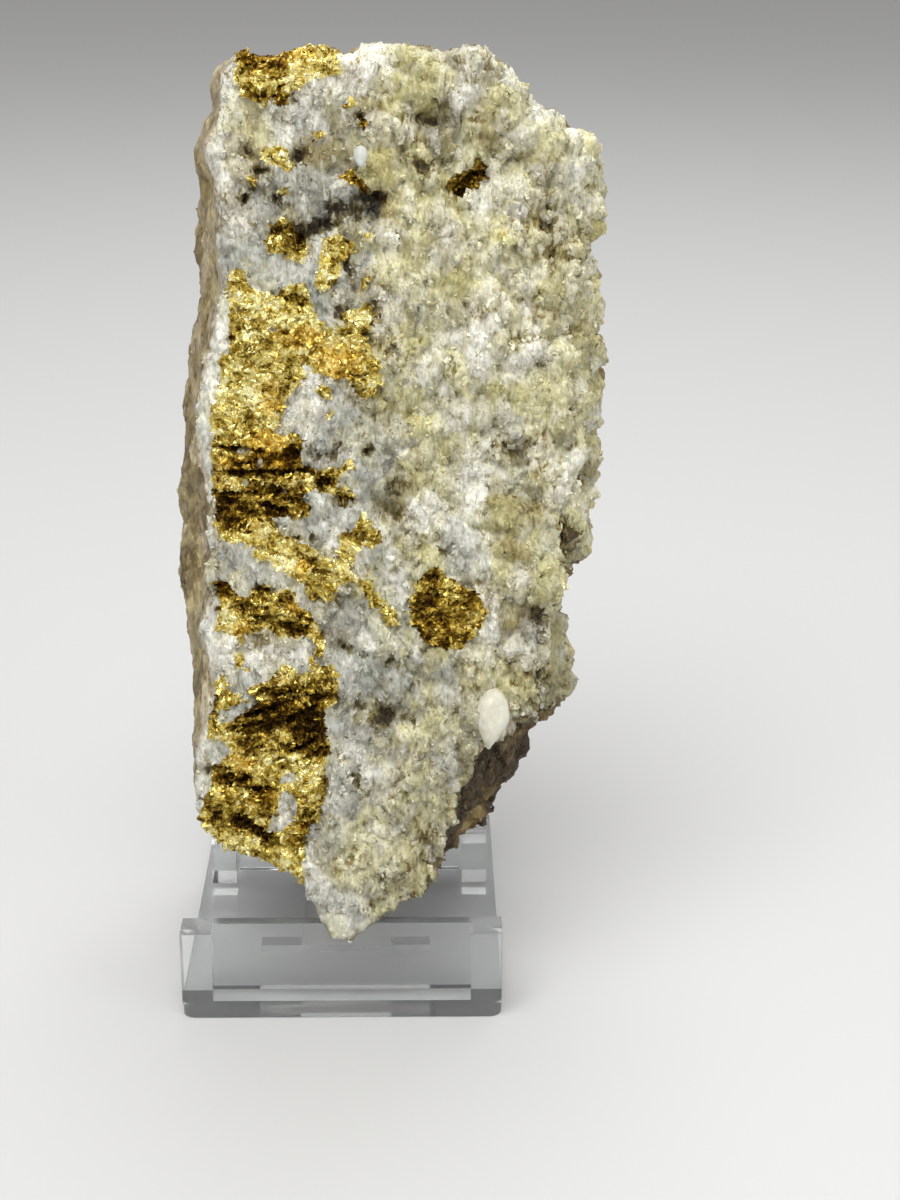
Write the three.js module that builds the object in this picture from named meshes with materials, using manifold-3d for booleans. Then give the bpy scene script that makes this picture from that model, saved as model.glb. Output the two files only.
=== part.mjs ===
// A specimen of chalcopyrite in quartz, standing in a clear moulded acrylic holder.
// Units are millimetres, +Z is up, +X is to the right seen from the front, -Y is the front.
// The origin is on the holder's underside, on its middle line, midway between the two rear lugs.

import * as THREE from 'three';
import { mergeVertices } from 'three/addons/utils/BufferGeometryUtils.js';
import { ImprovedNoise } from 'three/addons/math/ImprovedNoise.js';
import Module from 'manifold-3d';

// --- Driving dimensions ---------------------------------------------------------------------

const GAP = 0.3; // air left between touching pieces

// Holder: one moulding with a floor plate, a front lip between two posts, and two rear lugs.
const PLATE_WIDTH = 50;
const PLATE_FRONT = -41;
const PLATE_DEPTH = 64;
const PLATE_THICKNESS = 3;
const PLATE_CORNER_RADIUS = 2;
const LIP_TOP = 14.8;
const LIP_WIDTH = 49.8;
const POST_WIDTH = 4.8;
const POST_DEPTH = 5.2;
const WALL_THICKNESS = 1.8;
const SET_BACK = 0.01; // of the posts' faces behind the plate's front edge

// T-shaped opening in the floor plate: a cross slot in front, and a wide channel behind it.
const SLOT_WIDTH = 27.5;
const SLOT_FRONT = -23.6;
const SLOT_DEPTH = 2.6;
const CHANNEL_WIDTH = 14.8;
const CHANNEL_BACK = -4.4;

// Rear lugs, with rounded tops, that hold the back rest between them.
const LUG_WIDTH = 4.2;
const LUG_INNER = 19.4;
const LUG_DEPTH = 7; // centred on y = 0
const LUG_TOP = 11.6;

// Back rest: a leaning plate with rounded top corners.
const REST_THICKNESS = 2.6;
const REST_LENGTH = 50;
const REST_FOOT_Y = -0.8;
const REST_LEAN = THREE.MathUtils.degToRad(12);
const REST_CORNER_RADIUS = 8;
const REST_CLEARANCE = 6; // how deep behind the plate's front the stone is kept clear

// Stone: the number of steps across, through and up, and the size of its lumps.
const STONE_STEPS = [20, 15, 46];
const STONE_BOTTOM = 12.2;
const STONE_TOP = 146.4;
const LEVEL_CROWDING = 1.25; // above 1, the levels crowd towards the narrow foot
const BULGE_SIZE = 21; // on the flanks and the back only
const BULGE_HEIGHT = 3.4;
const LUMP_SIZE = 9;
const LUMP_HEIGHT = 1.5;
const GRAIN_SIZE = 3.6;
const GRAIN_HEIGHT = 0.7;

// The stone's six long edges, each from the foot up, as [x, y, z].
const FRONT_LEFT_EDGE = [
  [-2.0, -39.6, 12], [-4.0, -38.6, 18], [-6.0, -37.8, 23], [-17.0, -37.2, 27], [-22.4, -36.2, 32],
  [-22.6, -35.4, 38], [-20.4, -34.2, 46], [-19.2, -31.4, 66], [-18.4, -29.4, 81], [-19.8, -27.4, 95],
  [-16.6, -25.2, 110], [-16.2, -22.6, 128], [-14.8, -20.4, 146.5],
];
const FRONT_RIGHT_EDGE = [
  [2.0, -39.4, 12], [7.6, -38.2, 16.6], [12.2, -38.0, 19], [15.2, -36.8, 27], [17.0, -35.8, 36],
  [20.0, -34.6, 43], [25.8, -34.0, 46.4], [31.0, -32.6, 50.4], [32.0, -30.6, 60], [34.6, -27.6, 73],
  [35.8, -23.0, 90], [34.8, -19.6, 112], [34.4, -16.6, 128], [33.4, -15.2, 146.5],
];
const MIDDLE_LEFT_EDGE = [
  [-2.4, -37.6, 12], [-5.0, -32.0, 18], [-12.0, -21.0, 24], [-23.4, -20.4, 30], [-23.2, -17.0, 46],
  [-25.4, -13.2, 64], [-25.6, -11.6, 78], [-22.9, -9.4, 92], [-21.6, -7.4, 108], [-21.4, -4.8, 126],
  [-20.6, -3.0, 146.5],
];
const MIDDLE_RIGHT_EDGE = [
  [3.0, -37.4, 12], [8.0, -33.0, 17], [13.0, -26.0, 20], [22.4, -19.8, 21.6], [26.4, -19.2, 25],
  [31.0, -17.6, 35], [38.2, -16.4, 45.4], [35.8, -15.2, 52], [34.2, -14.0, 62.5], [39.6, -13.2, 69],
  [41.2, -10.4, 84], [39.6, -7.6, 108], [40.2, -5.0, 130], [39.0, -4.0, 146.5],
];
const BACK_LEFT_EDGE = [
  [-1.6, -36.2, 12], [-3.6, -23.0, 18], [-9.0, -7.0, 22], [-19.0, 3.0, 31], [-21.6, 8.0, 46],
  [-23.4, 11.4, 62], [-19.4, 14.4, 84], [-20.6, 18.6, 104], [-16.6, 19.2, 126], [-15.0, 19.6, 146.5],
];
const BACK_RIGHT_EDGE = [
  [2.2, -36.2, 12], [8.0, -25.0, 17], [14.0, -9.0, 20.5], [23.0, 1.6, 29], [30.0, 6.6, 44],
  [33.4, 10.4, 58], [32.4, 11.0, 78], [35.4, 16.2, 98], [31.0, 17.6, 122], [29.6, 19.2, 146.5],
];

// Fracture planes that trim the block, each as an outward direction and a point on the plane.
const FRACTURES = [
  { direction: [0.03, 0.14, 0.99], point: [2, -20, 145.0] },
  { direction: [0.66, 0.10, 0.74], point: [33.9, -17, 134.0] },
  { direction: [-0.94, 0.12, 0.30], point: [-17.6, -9, 134] },
  { direction: [0.20, 0.62, 0.76], point: [8, 15, 131] },
  { direction: [0.85, -0.52, 0.10], point: [38.4, -18, 100] },
  { direction: [-0.62, 0.78, 0.06], point: [-17, 12, 96] },
  { direction: [0.70, 0.70, -0.14], point: [31, 8.6, 62] },
];

// --- Manifold helpers -----------------------------------------------------------------------

const wasm = await Module();
wasm.setup();

// A closed three.js geometry as a solid that can be joined and cut.
function toSolid(geometry) {
  const bare = geometry.clone();
  bare.deleteAttribute('normal');
  bare.deleteAttribute('uv');
  const merged = mergeVertices(bare, 1e-4);
  const vertProperties = new Float32Array(merged.attributes.position.array);
  const triVerts = new Uint32Array(merged.index.array);
  return new wasm.Manifold(new wasm.Mesh({ numProp: 3, vertProperties, triVerts }));
}

// A solid back as a three.js geometry.
function toGeometry(solid) {
  const { vertProperties, triVerts } = solid.getMesh();
  const geometry = new THREE.BufferGeometry();
  geometry.setAttribute('position', new THREE.BufferAttribute(vertProperties, 3));
  geometry.setIndex(new THREE.BufferAttribute(triVerts, 1));
  geometry.computeVertexNormals();
  return geometry;
}

// A box between two corners.
function block(low, high) {
  const size = high.map((value, axis) => value - low[axis]);
  const geometry = new THREE.BoxGeometry(...size);
  return geometry.translate(...low.map((value, axis) => value + size[axis] / 2));
}

// --- Acrylic holder -------------------------------------------------------------------------

const wallBack = PLATE_FRONT + POST_DEPTH;
const wallFront = wallBack - WALL_THICKNESS;

// Floor plate with rounded corners and the T-shaped opening.
function floorPlate() {
  const halfWidth = PLATE_WIDTH / 2;
  const inX = halfWidth - PLATE_CORNER_RADIUS;
  const inFront = PLATE_FRONT + PLATE_CORNER_RADIUS;
  const inBack = PLATE_FRONT + PLATE_DEPTH - PLATE_CORNER_RADIUS;
  const outline = new THREE.Shape();
  outline.absarc(inX, inBack, PLATE_CORNER_RADIUS, 0, Math.PI / 2);
  outline.absarc(-inX, inBack, PLATE_CORNER_RADIUS, Math.PI / 2, Math.PI);
  outline.absarc(-inX, inFront, PLATE_CORNER_RADIUS, Math.PI, Math.PI * 1.5);
  outline.absarc(inX, inFront, PLATE_CORNER_RADIUS, Math.PI * 1.5, Math.PI * 2);

  const slotBack = SLOT_FRONT + SLOT_DEPTH;
  const opening = new THREE.Path();
  opening.moveTo(-SLOT_WIDTH / 2, SLOT_FRONT);
  opening.lineTo(SLOT_WIDTH / 2, SLOT_FRONT);
  opening.lineTo(SLOT_WIDTH / 2, slotBack);
  opening.lineTo(CHANNEL_WIDTH / 2, slotBack);
  opening.lineTo(CHANNEL_WIDTH / 2, CHANNEL_BACK);
  opening.lineTo(-CHANNEL_WIDTH / 2, CHANNEL_BACK);
  opening.lineTo(-CHANNEL_WIDTH / 2, slotBack);
  opening.lineTo(-SLOT_WIDTH / 2, slotBack);
  outline.holes.push(opening);
  const settings = { depth: PLATE_THICKNESS, bevelEnabled: false, curveSegments: 5 };
  return new THREE.ExtrudeGeometry(outline, settings);
}

// One rear lug: a side view with a rounded top, as thick as the lug is wide.
function rearLug(side) {
  const radius = LUG_DEPTH / 2;
  const profile = new THREE.Shape();
  profile.moveTo(-radius, PLATE_THICKNESS / 2);
  profile.lineTo(radius, PLATE_THICKNESS / 2);
  profile.absarc(0, LUG_TOP - radius, radius, 0, Math.PI);
  const settings = { depth: LUG_WIDTH, bevelEnabled: false, curveSegments: 10 };
  const lug = new THREE.ExtrudeGeometry(profile, settings);
  lug.rotateX(Math.PI / 2).rotateZ(Math.PI / 2);
  return lug.translate(side > 0 ? LUG_INNER : -LUG_INNER - LUG_WIDTH, 0, 0);
}

function acrylicHolder() {
  const halfLip = LIP_WIDTH / 2;
  const root = PLATE_THICKNESS / 2; // the uprights start inside the plate
  let holder = toSolid(floorPlate());
  const wall = block([-halfLip + 1, wallFront, root], [halfLip - 1, wallBack, LIP_TOP]);
  holder = holder.add(toSolid(wall));
  for (const side of [-1, 1]) {
    const outer = side * halfLip;
    const inner = side * (halfLip - POST_WIDTH);
    const low = [Math.min(outer, inner), PLATE_FRONT + SET_BACK, PLATE_THICKNESS - 0.5];
    const high = [Math.max(outer, inner), wallBack, LIP_TOP];
    holder = holder.add(toSolid(block(low, high)));
    holder = holder.add(toSolid(rearLug(side)));
  }
  return toGeometry(holder);
}

// The leaning plate of the back rest, between the lugs, as thick as asked and grown all round by a
// margin.
function restPlate(thickness, margin) {
  const halfWidth = LUG_INNER - GAP + margin;
  const inX = halfWidth - REST_CORNER_RADIUS;
  const outline = new THREE.Shape();
  const inZ = REST_LENGTH + margin - REST_CORNER_RADIUS;
  outline.moveTo(-halfWidth, 0);
  outline.lineTo(halfWidth, 0);
  outline.absarc(inX, inZ, REST_CORNER_RADIUS, 0, Math.PI / 2);
  outline.absarc(-inX, inZ, REST_CORNER_RADIUS, Math.PI / 2, Math.PI);
  const settings = { depth: thickness, bevelEnabled: false, curveSegments: 8 };
  const plate = new THREE.ExtrudeGeometry(outline, settings);
  plate.translate(0, 0, -thickness);
  plate.rotateX(Math.PI / 2 - REST_LEAN);
  const footLift = REST_THICKNESS * Math.sin(REST_LEAN);
  return plate.translate(0, REST_FOOT_Y - margin, PLATE_THICKNESS + GAP + footLift);
}

// --- Stone ----------------------------------------------------------------------------------

// The point of a long edge at a height.
function edgeAt(edge, z) {
  const last = edge.length - 1;
  let i = 0;
  while (i < last - 1 && z > edge[i + 1][2]) {
    i += 1;
  }
  const [x0, y0, z0] = edge[i];
  const [x1, y1, z1] = edge[i + 1];
  const t = THREE.MathUtils.clamp((z - z0) / (z1 - z0), 0, 1);
  return new THREE.Vector3(x0 + t * (x1 - x0), y0 + t * (y1 - y0), z);
}

// A side of the block at a height: v runs from -1 at the front, over 0 in the middle, to 1 at the back.
function sideAt(front, middle, back, z, v) {
  const centre = edgeAt(middle, z);
  return v < 0
    ? centre.lerp(edgeAt(front, z), -v)
    : centre.lerp(edgeAt(back, z), v);
}

// Carries a point of a cube, each way from -1 to 1, to its place in the rough block.
function toBlock(cube) {
  const rise = ((cube.z + 1) / 2) ** LEVEL_CROWDING;
  const z = STONE_BOTTOM + rise * (STONE_TOP - STONE_BOTTOM);
  const left = sideAt(FRONT_LEFT_EDGE, MIDDLE_LEFT_EDGE, BACK_LEFT_EDGE, z, cube.y);
  const right = sideAt(FRONT_RIGHT_EDGE, MIDDLE_RIGHT_EDGE, BACK_RIGHT_EDGE, z, cube.y);
  return left.lerp(right, (cube.x + 1) / 2);
}

// Presses a point that stands outside a fracture plane back onto it.
function trim(point) {
  for (const { direction, point: onPlane } of FRACTURES) {
    const outward = new THREE.Vector3(...direction).normalize();
    const excess = outward.dot(point) - outward.dot(new THREE.Vector3(...onPlane));
    if (excess > 0) {
      point.addScaledVector(outward, -excess);
    }
  }
  return point;
}

function stone() {
  const rough = new THREE.BoxGeometry(2, 2, 2, ...STONE_STEPS);
  rough.deleteAttribute('normal');
  rough.deleteAttribute('uv');
  const geometry = mergeVertices(rough, 1e-4);
  const position = geometry.attributes.position;
  const point = new THREE.Vector3();
  for (let i = 0; i < position.count; i += 1) {
    point.fromBufferAttribute(position, i);
    const placed = trim(toBlock(point));
    position.setXYZ(i, placed.x, placed.y, placed.z);
  }

  // Lumps and coarse grain, fading out towards the thin foot.
  geometry.computeVertexNormals();
  const noise = new ImprovedNoise();
  const normal = new THREE.Vector3();
  for (let i = 0; i < position.count; i += 1) {
    point.fromBufferAttribute(position, i);
    normal.fromBufferAttribute(geometry.attributes.normal, i);
    const bulge = noise.noise(point.x / BULGE_SIZE, point.y / BULGE_SIZE, point.z / BULGE_SIZE);
    const lump = noise.noise(point.x / LUMP_SIZE, point.y / LUMP_SIZE, point.z / LUMP_SIZE);
    const grain = noise.noise(point.x / GRAIN_SIZE, point.y / GRAIN_SIZE, point.z / GRAIN_SIZE);
    const hidden = THREE.MathUtils.smoothstep(normal.y, 0.1, 0.6);
    const height = hidden * bulge * BULGE_HEIGHT + lump * LUMP_HEIGHT + grain * GRAIN_HEIGHT;
    point.addScaledVector(normal, THREE.MathUtils.smoothstep(point.z, 12, 34) * height);
    position.setXYZ(i, point.x, point.y, point.z);
  }

  // The foot straddles the holder's lip and the back lies on the back rest, so both, with their
  // air gap, are taken out of the stone.
  const lipLow = [-PLATE_WIDTH, wallFront - GAP, 0];
  const lipHigh = [PLATE_WIDTH, wallBack + GAP, LIP_TOP + GAP];
  const onLip = toSolid(geometry).subtract(toSolid(block(lipLow, lipHigh)));
  return toGeometry(onLip.subtract(toSolid(restPlate(REST_CLEARANCE, GAP))));
}

// --- Object ---------------------------------------------------------------------------------

function piece(name, geometry, material) {
  const mesh = new THREE.Mesh(geometry, material);
  mesh.name = name;
  return mesh;
}

const paleRock = { color: 0xb8b194, roughness: 0.7, metalness: 0 };
const clearAcrylic = { color: 0xe8eeee, roughness: 0.08, metalness: 0 };
const specimen = new THREE.Group();
specimen.add(
  piece('stone', stone(), new THREE.MeshStandardMaterial(paleRock)),
  piece('stand_base', acrylicHolder(), new THREE.MeshStandardMaterial(clearAcrylic)),
  piece('stand_back_rest', restPlate(REST_THICKNESS, 0), new THREE.MeshStandardMaterial(clearAcrylic)),
);

export default specimen;
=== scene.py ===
# A hand specimen of chalcopyrite in granular quartz, on a clear moulded acrylic stand.
# Blender works in metres; the rock's own sizes below are in millimetres, times MM.

import math

import bmesh
import bpy
import numpy as np
from mathutils import Matrix, Vector
from mathutils.bvhtree import BVHTree


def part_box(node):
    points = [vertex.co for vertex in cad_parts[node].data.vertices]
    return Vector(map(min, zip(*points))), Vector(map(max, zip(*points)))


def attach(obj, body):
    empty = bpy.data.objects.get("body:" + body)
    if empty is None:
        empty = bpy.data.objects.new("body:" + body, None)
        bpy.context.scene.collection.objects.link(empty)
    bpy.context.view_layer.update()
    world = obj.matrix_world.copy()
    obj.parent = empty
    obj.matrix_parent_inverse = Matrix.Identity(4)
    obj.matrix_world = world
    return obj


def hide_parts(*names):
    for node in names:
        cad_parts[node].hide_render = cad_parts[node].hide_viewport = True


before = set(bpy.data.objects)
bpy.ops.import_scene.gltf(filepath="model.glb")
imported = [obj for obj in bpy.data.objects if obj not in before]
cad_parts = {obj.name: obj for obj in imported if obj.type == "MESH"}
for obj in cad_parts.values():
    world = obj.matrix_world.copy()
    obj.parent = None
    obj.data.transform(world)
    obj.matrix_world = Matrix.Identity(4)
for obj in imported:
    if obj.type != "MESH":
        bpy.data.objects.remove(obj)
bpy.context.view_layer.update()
MM = 0.001


# ---- Rock body -------------------------------------------------------------------------------
# One broken block of pale quartz with masses of chalcopyrite grown in its left half. The block is
# the CAD stone remeshed finely, roughened by lumps, grains, leaves and pits, with sharp facets.

BODY_STEP = 1.56  # edge of the faces at the back; the sides' are a half and the front's a quarter
FACE_FOOT_Y = -39.0  # where the leaning front face meets the foot
FACE_FOOT_Z = 12.0
FACE_LEAN = math.tan(math.radians(8))
LEFT_BORDER = (2.0, 7.0)  # x over which the fine grey-white left half becomes the coarser right half
TOP_EDGE = (139.0, 143.0)  # z over which the front face turns into the top
FOOT_TOP = (46.0, 60.0)  # z over which the front face becomes the greyer foot
LUMP_SIZE = 4.6  # the quartz breaks in lumps, clumps and grains of these sizes
CLUMP_SIZE = 2.3
GRAIN_SIZE = 1.05
HACKLE_SIZE = 1.0  # and the ore in hackly cells of this size
STRETCH = np.array([1.35, 1.0, 0.62])  # makes clumps and grains narrower, and taller
HACKLE_STRETCH = np.array([0.75, 1, 1.3])  # makes the ore's cells wider, and lower
STAND_AIR = (0.3, 2.4)  # the rock isn't roughened this near the stand, and fully this far off
GAP_REACH = 9.0  # how far from the stand the gap is measured
MERGE_DISTANCE = 0.00002  # joins the loose triangles of a CAD mesh, in metres
FLAT_ANGLE = math.radians(2)  # and joins them into one flat face


def lattice(ix, iy, iz, seed):
    """One repeatable random number from 0 to 1 for each whole-numbered point of space."""
    mixed = (ix.astype(np.int64) * 73856093) ^ (iy.astype(np.int64) * 19349663)
    mixed = (mixed ^ (iz.astype(np.int64) * 83492791) ^ (seed * 2654435761)) & 0xFFFFFFFF
    mixed = ((mixed ^ (mixed >> 15)) * 2246822519) & 0xFFFFFFFF
    mixed = ((mixed ^ (mixed >> 13)) * 3266489917) & 0xFFFFFFFF
    return ((mixed ^ (mixed >> 16)) & 0xFFFFFF) / float(0x1000000)


def noise(points, size, seed):
    """Smooth noise from -1 to 1 with lumps of about the given size."""
    scaled = points / size
    whole = np.floor(scaled)
    part = scaled - whole
    part = part * part * (3 - 2 * part)
    total = np.zeros(len(points))
    for step in np.ndindex(2, 2, 2):
        corner = whole + np.array(step)
        share = np.prod(np.abs(1 - np.array(step) - part), axis=1)
        total += share * lattice(*corner.T, seed)
    return total * 2 - 1


def layered(points, size, seed, layers=3):
    """Noise with finer and finer layers added, still about -1 to 1."""
    total = sum(noise(points, size / 2 ** i, seed + i) / 2 ** i for i in range(layers))
    return total / (2 - 0.5 ** (layers - 1))


def noise_vector(points, size, seed):
    """Smooth noise of its own along each axis."""
    return np.stack([noise(points, size, seed + axis) for axis in range(3)], 1)


def warped(points, size, reach, seed):
    """The points pushed about by noise, which makes cells taken from them irregular."""
    return points + reach * noise_vector(points, size, seed)


def grains(points, size, seed):
    """The irregular cell each point is in: edge distance, offset from its centre, three randoms."""
    scaled = points / size
    whole = np.floor(scaled)
    nearest = np.full(len(points), np.inf)
    second = np.full(len(points), np.inf)
    offset = np.zeros((len(points), 3))
    own = np.zeros((len(points), 3))
    for step in np.ndindex(3, 3, 3):
        home = whole + np.array(step) - 1
        jitter = [lattice(*home.T, seed + axis) for axis in range(3)]
        away = scaled - home - np.stack(jitter, 1)
        distance = np.linalg.norm(away, axis=1)
        closer = distance < nearest
        second = np.where(closer, nearest, np.minimum(second, distance))
        nearest = np.where(closer, distance, nearest)
        offset[closer] = away[closer]
        for axis in range(3):
            own[closer, axis] = lattice(*home[closer].T, seed + 7 + axis)
    return (second - nearest) * size, offset * size, own


def smooth(low, high, values):
    """0 below low, 1 above high, and a smooth rise between."""
    t = np.clip((values - low) / (high - low), 0, 1)
    return t * t * (3 - 2 * t)


# Outlines of the chalcopyrite on the front face, as x, z of their corners.
ORE_OUTLINES = [
    [  # across the top left corner
        (-14.6, 146), (-13.9, 143), (-13.6, 140.4), (-12.6, 138.6), (-10.6, 138.2), (-8.8, 138.6),
        (-7.6, 137.6), (-6, 138.6), (-5.2, 139.8), (-3.2, 140.9), (-0.4, 141.5), (1.4, 141.9),
        (1.2, 143.2), (0.4, 143.9), (2.2, 146), (-2, 149), (-13, 149),
    ],
    [  # the large mass, its upper half
        (-15.2, 114), (-14.2, 114.8), (-13, 115), (-12.4, 113.4), (-11.6, 112), (-10, 111.8),
        (-8.4, 111.4), (-7, 112.6), (-5, 113), (-3.8, 112.8), (-3.4, 110.6), (-3, 109.4), (-2.2, 108),
        (-1.4, 106.6), (0.4, 106), (1.8, 106.2), (3.8, 105.6), (4.8, 104.4), (5.8, 102.6), (6.6, 101),
        (7, 99.4), (6.2, 97.8), (5.6, 96), (4.8, 96.6), (3.4, 96.4), (2.8, 97.4), (2.4, 98.6),
        (1.2, 99.4), (-0.4, 99.8), (-2, 99.6), (-3.2, 100.2), (-4.4, 99.4), (-5.4, 98.6),
        (-6.6, 97.4), (-7.4, 96), (-8, 94), (-8.6, 92.6), (-10, 91.8), (-8.6, 91), (-6.8, 91.4),
        (-5.6, 90.8), (-5.2, 89), (-12, 87), (-18.2, 88), (-17.6, 91), (-18.2, 93.4), (-18, 95.4),
        (-17.2, 97), (-17, 99), (-16.6, 101.6), (-15.6, 103), (-15.4, 105.6), (-15.2, 108),
        (-14.8, 110), (-15.6, 112),
    ],
    [  # its banded lower half
        (-18.2, 90), (-12, 90), (-5.2, 90), (-5, 88), (-5.2, 86.6), (-3.6, 86.2), (-2.2, 85.6),
        (-1, 86.4), (0.6, 86.4), (1.8, 87.8), (2.8, 88.2), (2.6, 87), (1.4, 86), (0.2, 84.8),
        (-0.2, 83.4), (2.8, 82.3), (3, 81.2), (1, 81), (-0.2, 82.3), (-1.4, 82.4), (-3.2, 82.9),
        (-4.8, 82.2), (-5.4, 81.2), (-4, 80.2), (-4, 79.4), (-5.6, 79.2), (-8, 79), (-9.6, 79),
        (-9.4, 77.4), (-8, 76.4), (-6.4, 75.6), (-5, 75), (-3.6, 74.6), (-3, 73.6), (-2.2, 72.6),
        (-0.6, 72), (0.2, 73.8), (0.4, 75.4), (0.6, 76.4), (2.4, 77), (3.2, 78.6), (3.8, 80),
        (4.6, 79.6), (4.6, 78), (5.4, 76.8), (6.4, 76.4), (6.4, 75.2), (4.6, 74.6), (3.2, 74),
        (2.6, 72.8), (1.6, 71.6), (2.6, 70), (4.6, 69.2), (6, 67.6), (7.4, 66.2), (8.6, 64.8),
        (8.8, 62.8), (8, 62), (7.4, 63.4), (6.4, 65), (4.8, 65.6), (4.2, 67), (3, 68.6), (1.4, 69.2),
        (0.4, 68.4), (-0.6, 67.4), (-0.4, 66), (-2.4, 66.2), (-4.4, 66.6), (-4.8, 67.8), (-5.2, 69),
        (-6.6, 70), (-8, 71), (-9.6, 71.4), (-10.4, 72.4), (-11, 73.2), (-12.2, 74.6), (-14, 75),
        (-16, 74.8), (-17.8, 75.4), (-18, 78), (-17.8, 81), (-18.2, 84), (-18.2, 87),
    ],
    [(-13.2, 73.4), (-12.2, 74.2), (-10.8, 73.8), (-10.6, 72.6), (-12, 72.2)],
    [  # the mass below it
        (-18.6, 69.2), (-17, 69.4), (-15.6, 68.4), (-15, 67.4), (-13, 67.4), (-11.4, 68.2),
        (-10.4, 69), (-10, 67.8), (-8.4, 67.6), (-7.4, 68.6), (-6.6, 67.6), (-6, 66), (-5.2, 65),
        (-4.4, 64.8), (-3.8, 63.8), (-3, 62.4), (-2, 61), (-2, 59), (-2.6, 57.8), (-3.6, 58.4),
        (-3.4, 60.2), (-4.8, 60.6), (-7, 61), (-9.4, 61), (-10, 61.8), (-12, 61.8), (-14, 61.2),
        (-14.4, 60.6), (-16, 60.8), (-17.4, 61.6), (-18.4, 62.6), (-18.2, 64.6), (-17.6, 66.4),
    ],
    [  # the lowest mass, down to the left foot
        (-18.8, 54), (-17, 54.6), (-16.8, 53), (-16, 52), (-14.2, 52.2), (-13, 53), (-11.6, 53.6),
        (-10.2, 54.2), (-9.2, 55.6), (-8.2, 56.6), (-7, 56), (-6.4, 55), (-4.8, 55.2), (-3.4, 55.6),
        (-2, 56.2), (-0.8, 56.6), (-0.2, 55), (0, 52.6), (-0.6, 50.6), (-2, 49.6), (-2, 48),
        (-2.2, 46), (-1.8, 44.4), (-1.4, 43), (-2, 42), (-2.6, 40.6), (-2, 38.6), (-2.2, 36),
        (-2.8, 34), (-3.2, 32.2), (-4.4, 30.6), (-5.2, 29), (-5.6, 27), (-5.8, 24.2), (-5.6, 22),
        (-16, 22), (-22, 31), (-21, 34.6), (-20, 36.6), (-19.8, 39), (-19.8, 41), (-18, 41.2),
        (-17, 42), (-16.6, 43.4), (-18.2, 45), (-19.8, 45.2), (-20, 47.6), (-19.4, 50), (-19.2, 52),
    ],
    [  # the round patch on the right
        (14.2, 71.4), (15, 70.8), (16.2, 69.8), (17.6, 68.8), (19, 68.4), (20.6, 67.6), (21.6, 66.8),
        (22, 65), (21.8, 63.2), (20.8, 61.6), (19.4, 60.6), (18.4, 59.2), (16.6, 58.8), (14.8, 59.4),
        (13.2, 60), (12, 61.4), (11.2, 63), (11, 64.6), (11.4, 66), (10.2, 66.6), (11.4, 67.4),
        (12, 69), (12.8, 70.4),
    ],
    [
        (-10.3, 131.2), (-8.4, 131.9), (-6.9, 131.6), (-6.6, 130.4), (-5.6, 129.2), (-6.4, 128.4),
        (-7.8, 129), (-9.4, 129.6),
    ],
    [(-12.4, 127.6), (-11.6, 128.5), (-10.6, 127.4), (-10.8, 126.6), (-11.8, 126.8)],
    [(-7.8, 125.6), (-7, 126.6), (-6.1, 126.1), (-6.4, 125.1), (-7.2, 124.9)],
    [(0.9, 128), (2.6, 128.8), (3.6, 127.8), (4.8, 126.6), (4.4, 125.9), (3, 126.4), (1.2, 127.2)],
    [
        (-9.8, 118.6), (-8.9, 120.6), (-7.6, 122), (-6.2, 121.6), (-5.2, 120), (-4, 119.4),
        (-3.8, 117), (-4.4, 115.6), (-6, 116.4), (-8, 117), (-9.6, 117.2),
    ],
    [
        (-2.2, 118.6), (-1.2, 119.6), (0.2, 119.8), (1.4, 119.4), (2.6, 118.8), (2.6, 117.4),
        (1.6, 116.6), (1, 115.4), (0.8, 114.4), (0.2, 113.4), (-0.4, 112.4), (-1.6, 111.6),
        (-2.6, 112.4), (-2.4, 114.4), (-2, 116.4),
    ],
    [(4.2, 119.1), (5, 120.2), (6.2, 119.6), (5.4, 118.9)],
    [
        (1.2, 108.6), (3, 109.6), (5, 109.8), (5.6, 108.8), (5.4, 107), (4.6, 105.8), (3, 105.6),
        (2.2, 106.2), (1.6, 107.4),
    ],
    [(3.4, 111.4), (4.6, 112.2), (5, 114.4), (4.2, 114), (3.6, 112.8)],
    [
        (16.2, 126.6), (17.6, 128.4), (19.4, 128.8), (20.4, 129.8), (22, 129.6), (22.2, 128),
        (21, 127.2), (20, 126.6), (19.2, 125.4), (17.8, 125.4),
    ],
    [(23.4, 119.6), (24, 120.5), (25, 120), (24.8, 119), (23.8, 118.8)],
    [(2.9, 136.2), (4.2, 136.2), (5.2, 135.2), (4.4, 134.6), (3.4, 135.2)],
    [(1.7, 138.1), (2.6, 138.6), (3.3, 138), (2.6, 137.5)],
    [(-3.3, 133.7), (-2.2, 134.4), (-1, 134.3), (-1.6, 133.5), (-2.6, 133.2)],
    [(-2.9, 98), (-1.8, 98.2), (-0.6, 97.3), (-1, 96.1), (-1.9, 96.5)],
    [(-1.5, 94), (-0.7, 94), (-0.4, 93.2), (-1.1, 93)],
    [(-15.6, 58), (-14.6, 58.6), (-14.2, 57), (-13.9, 55.6), (-15, 56)],
    [(-4.8, 57.2), (-4.2, 58), (-3.4, 56.8), (-3.8, 55.8), (-4.6, 56)],
]

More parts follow.
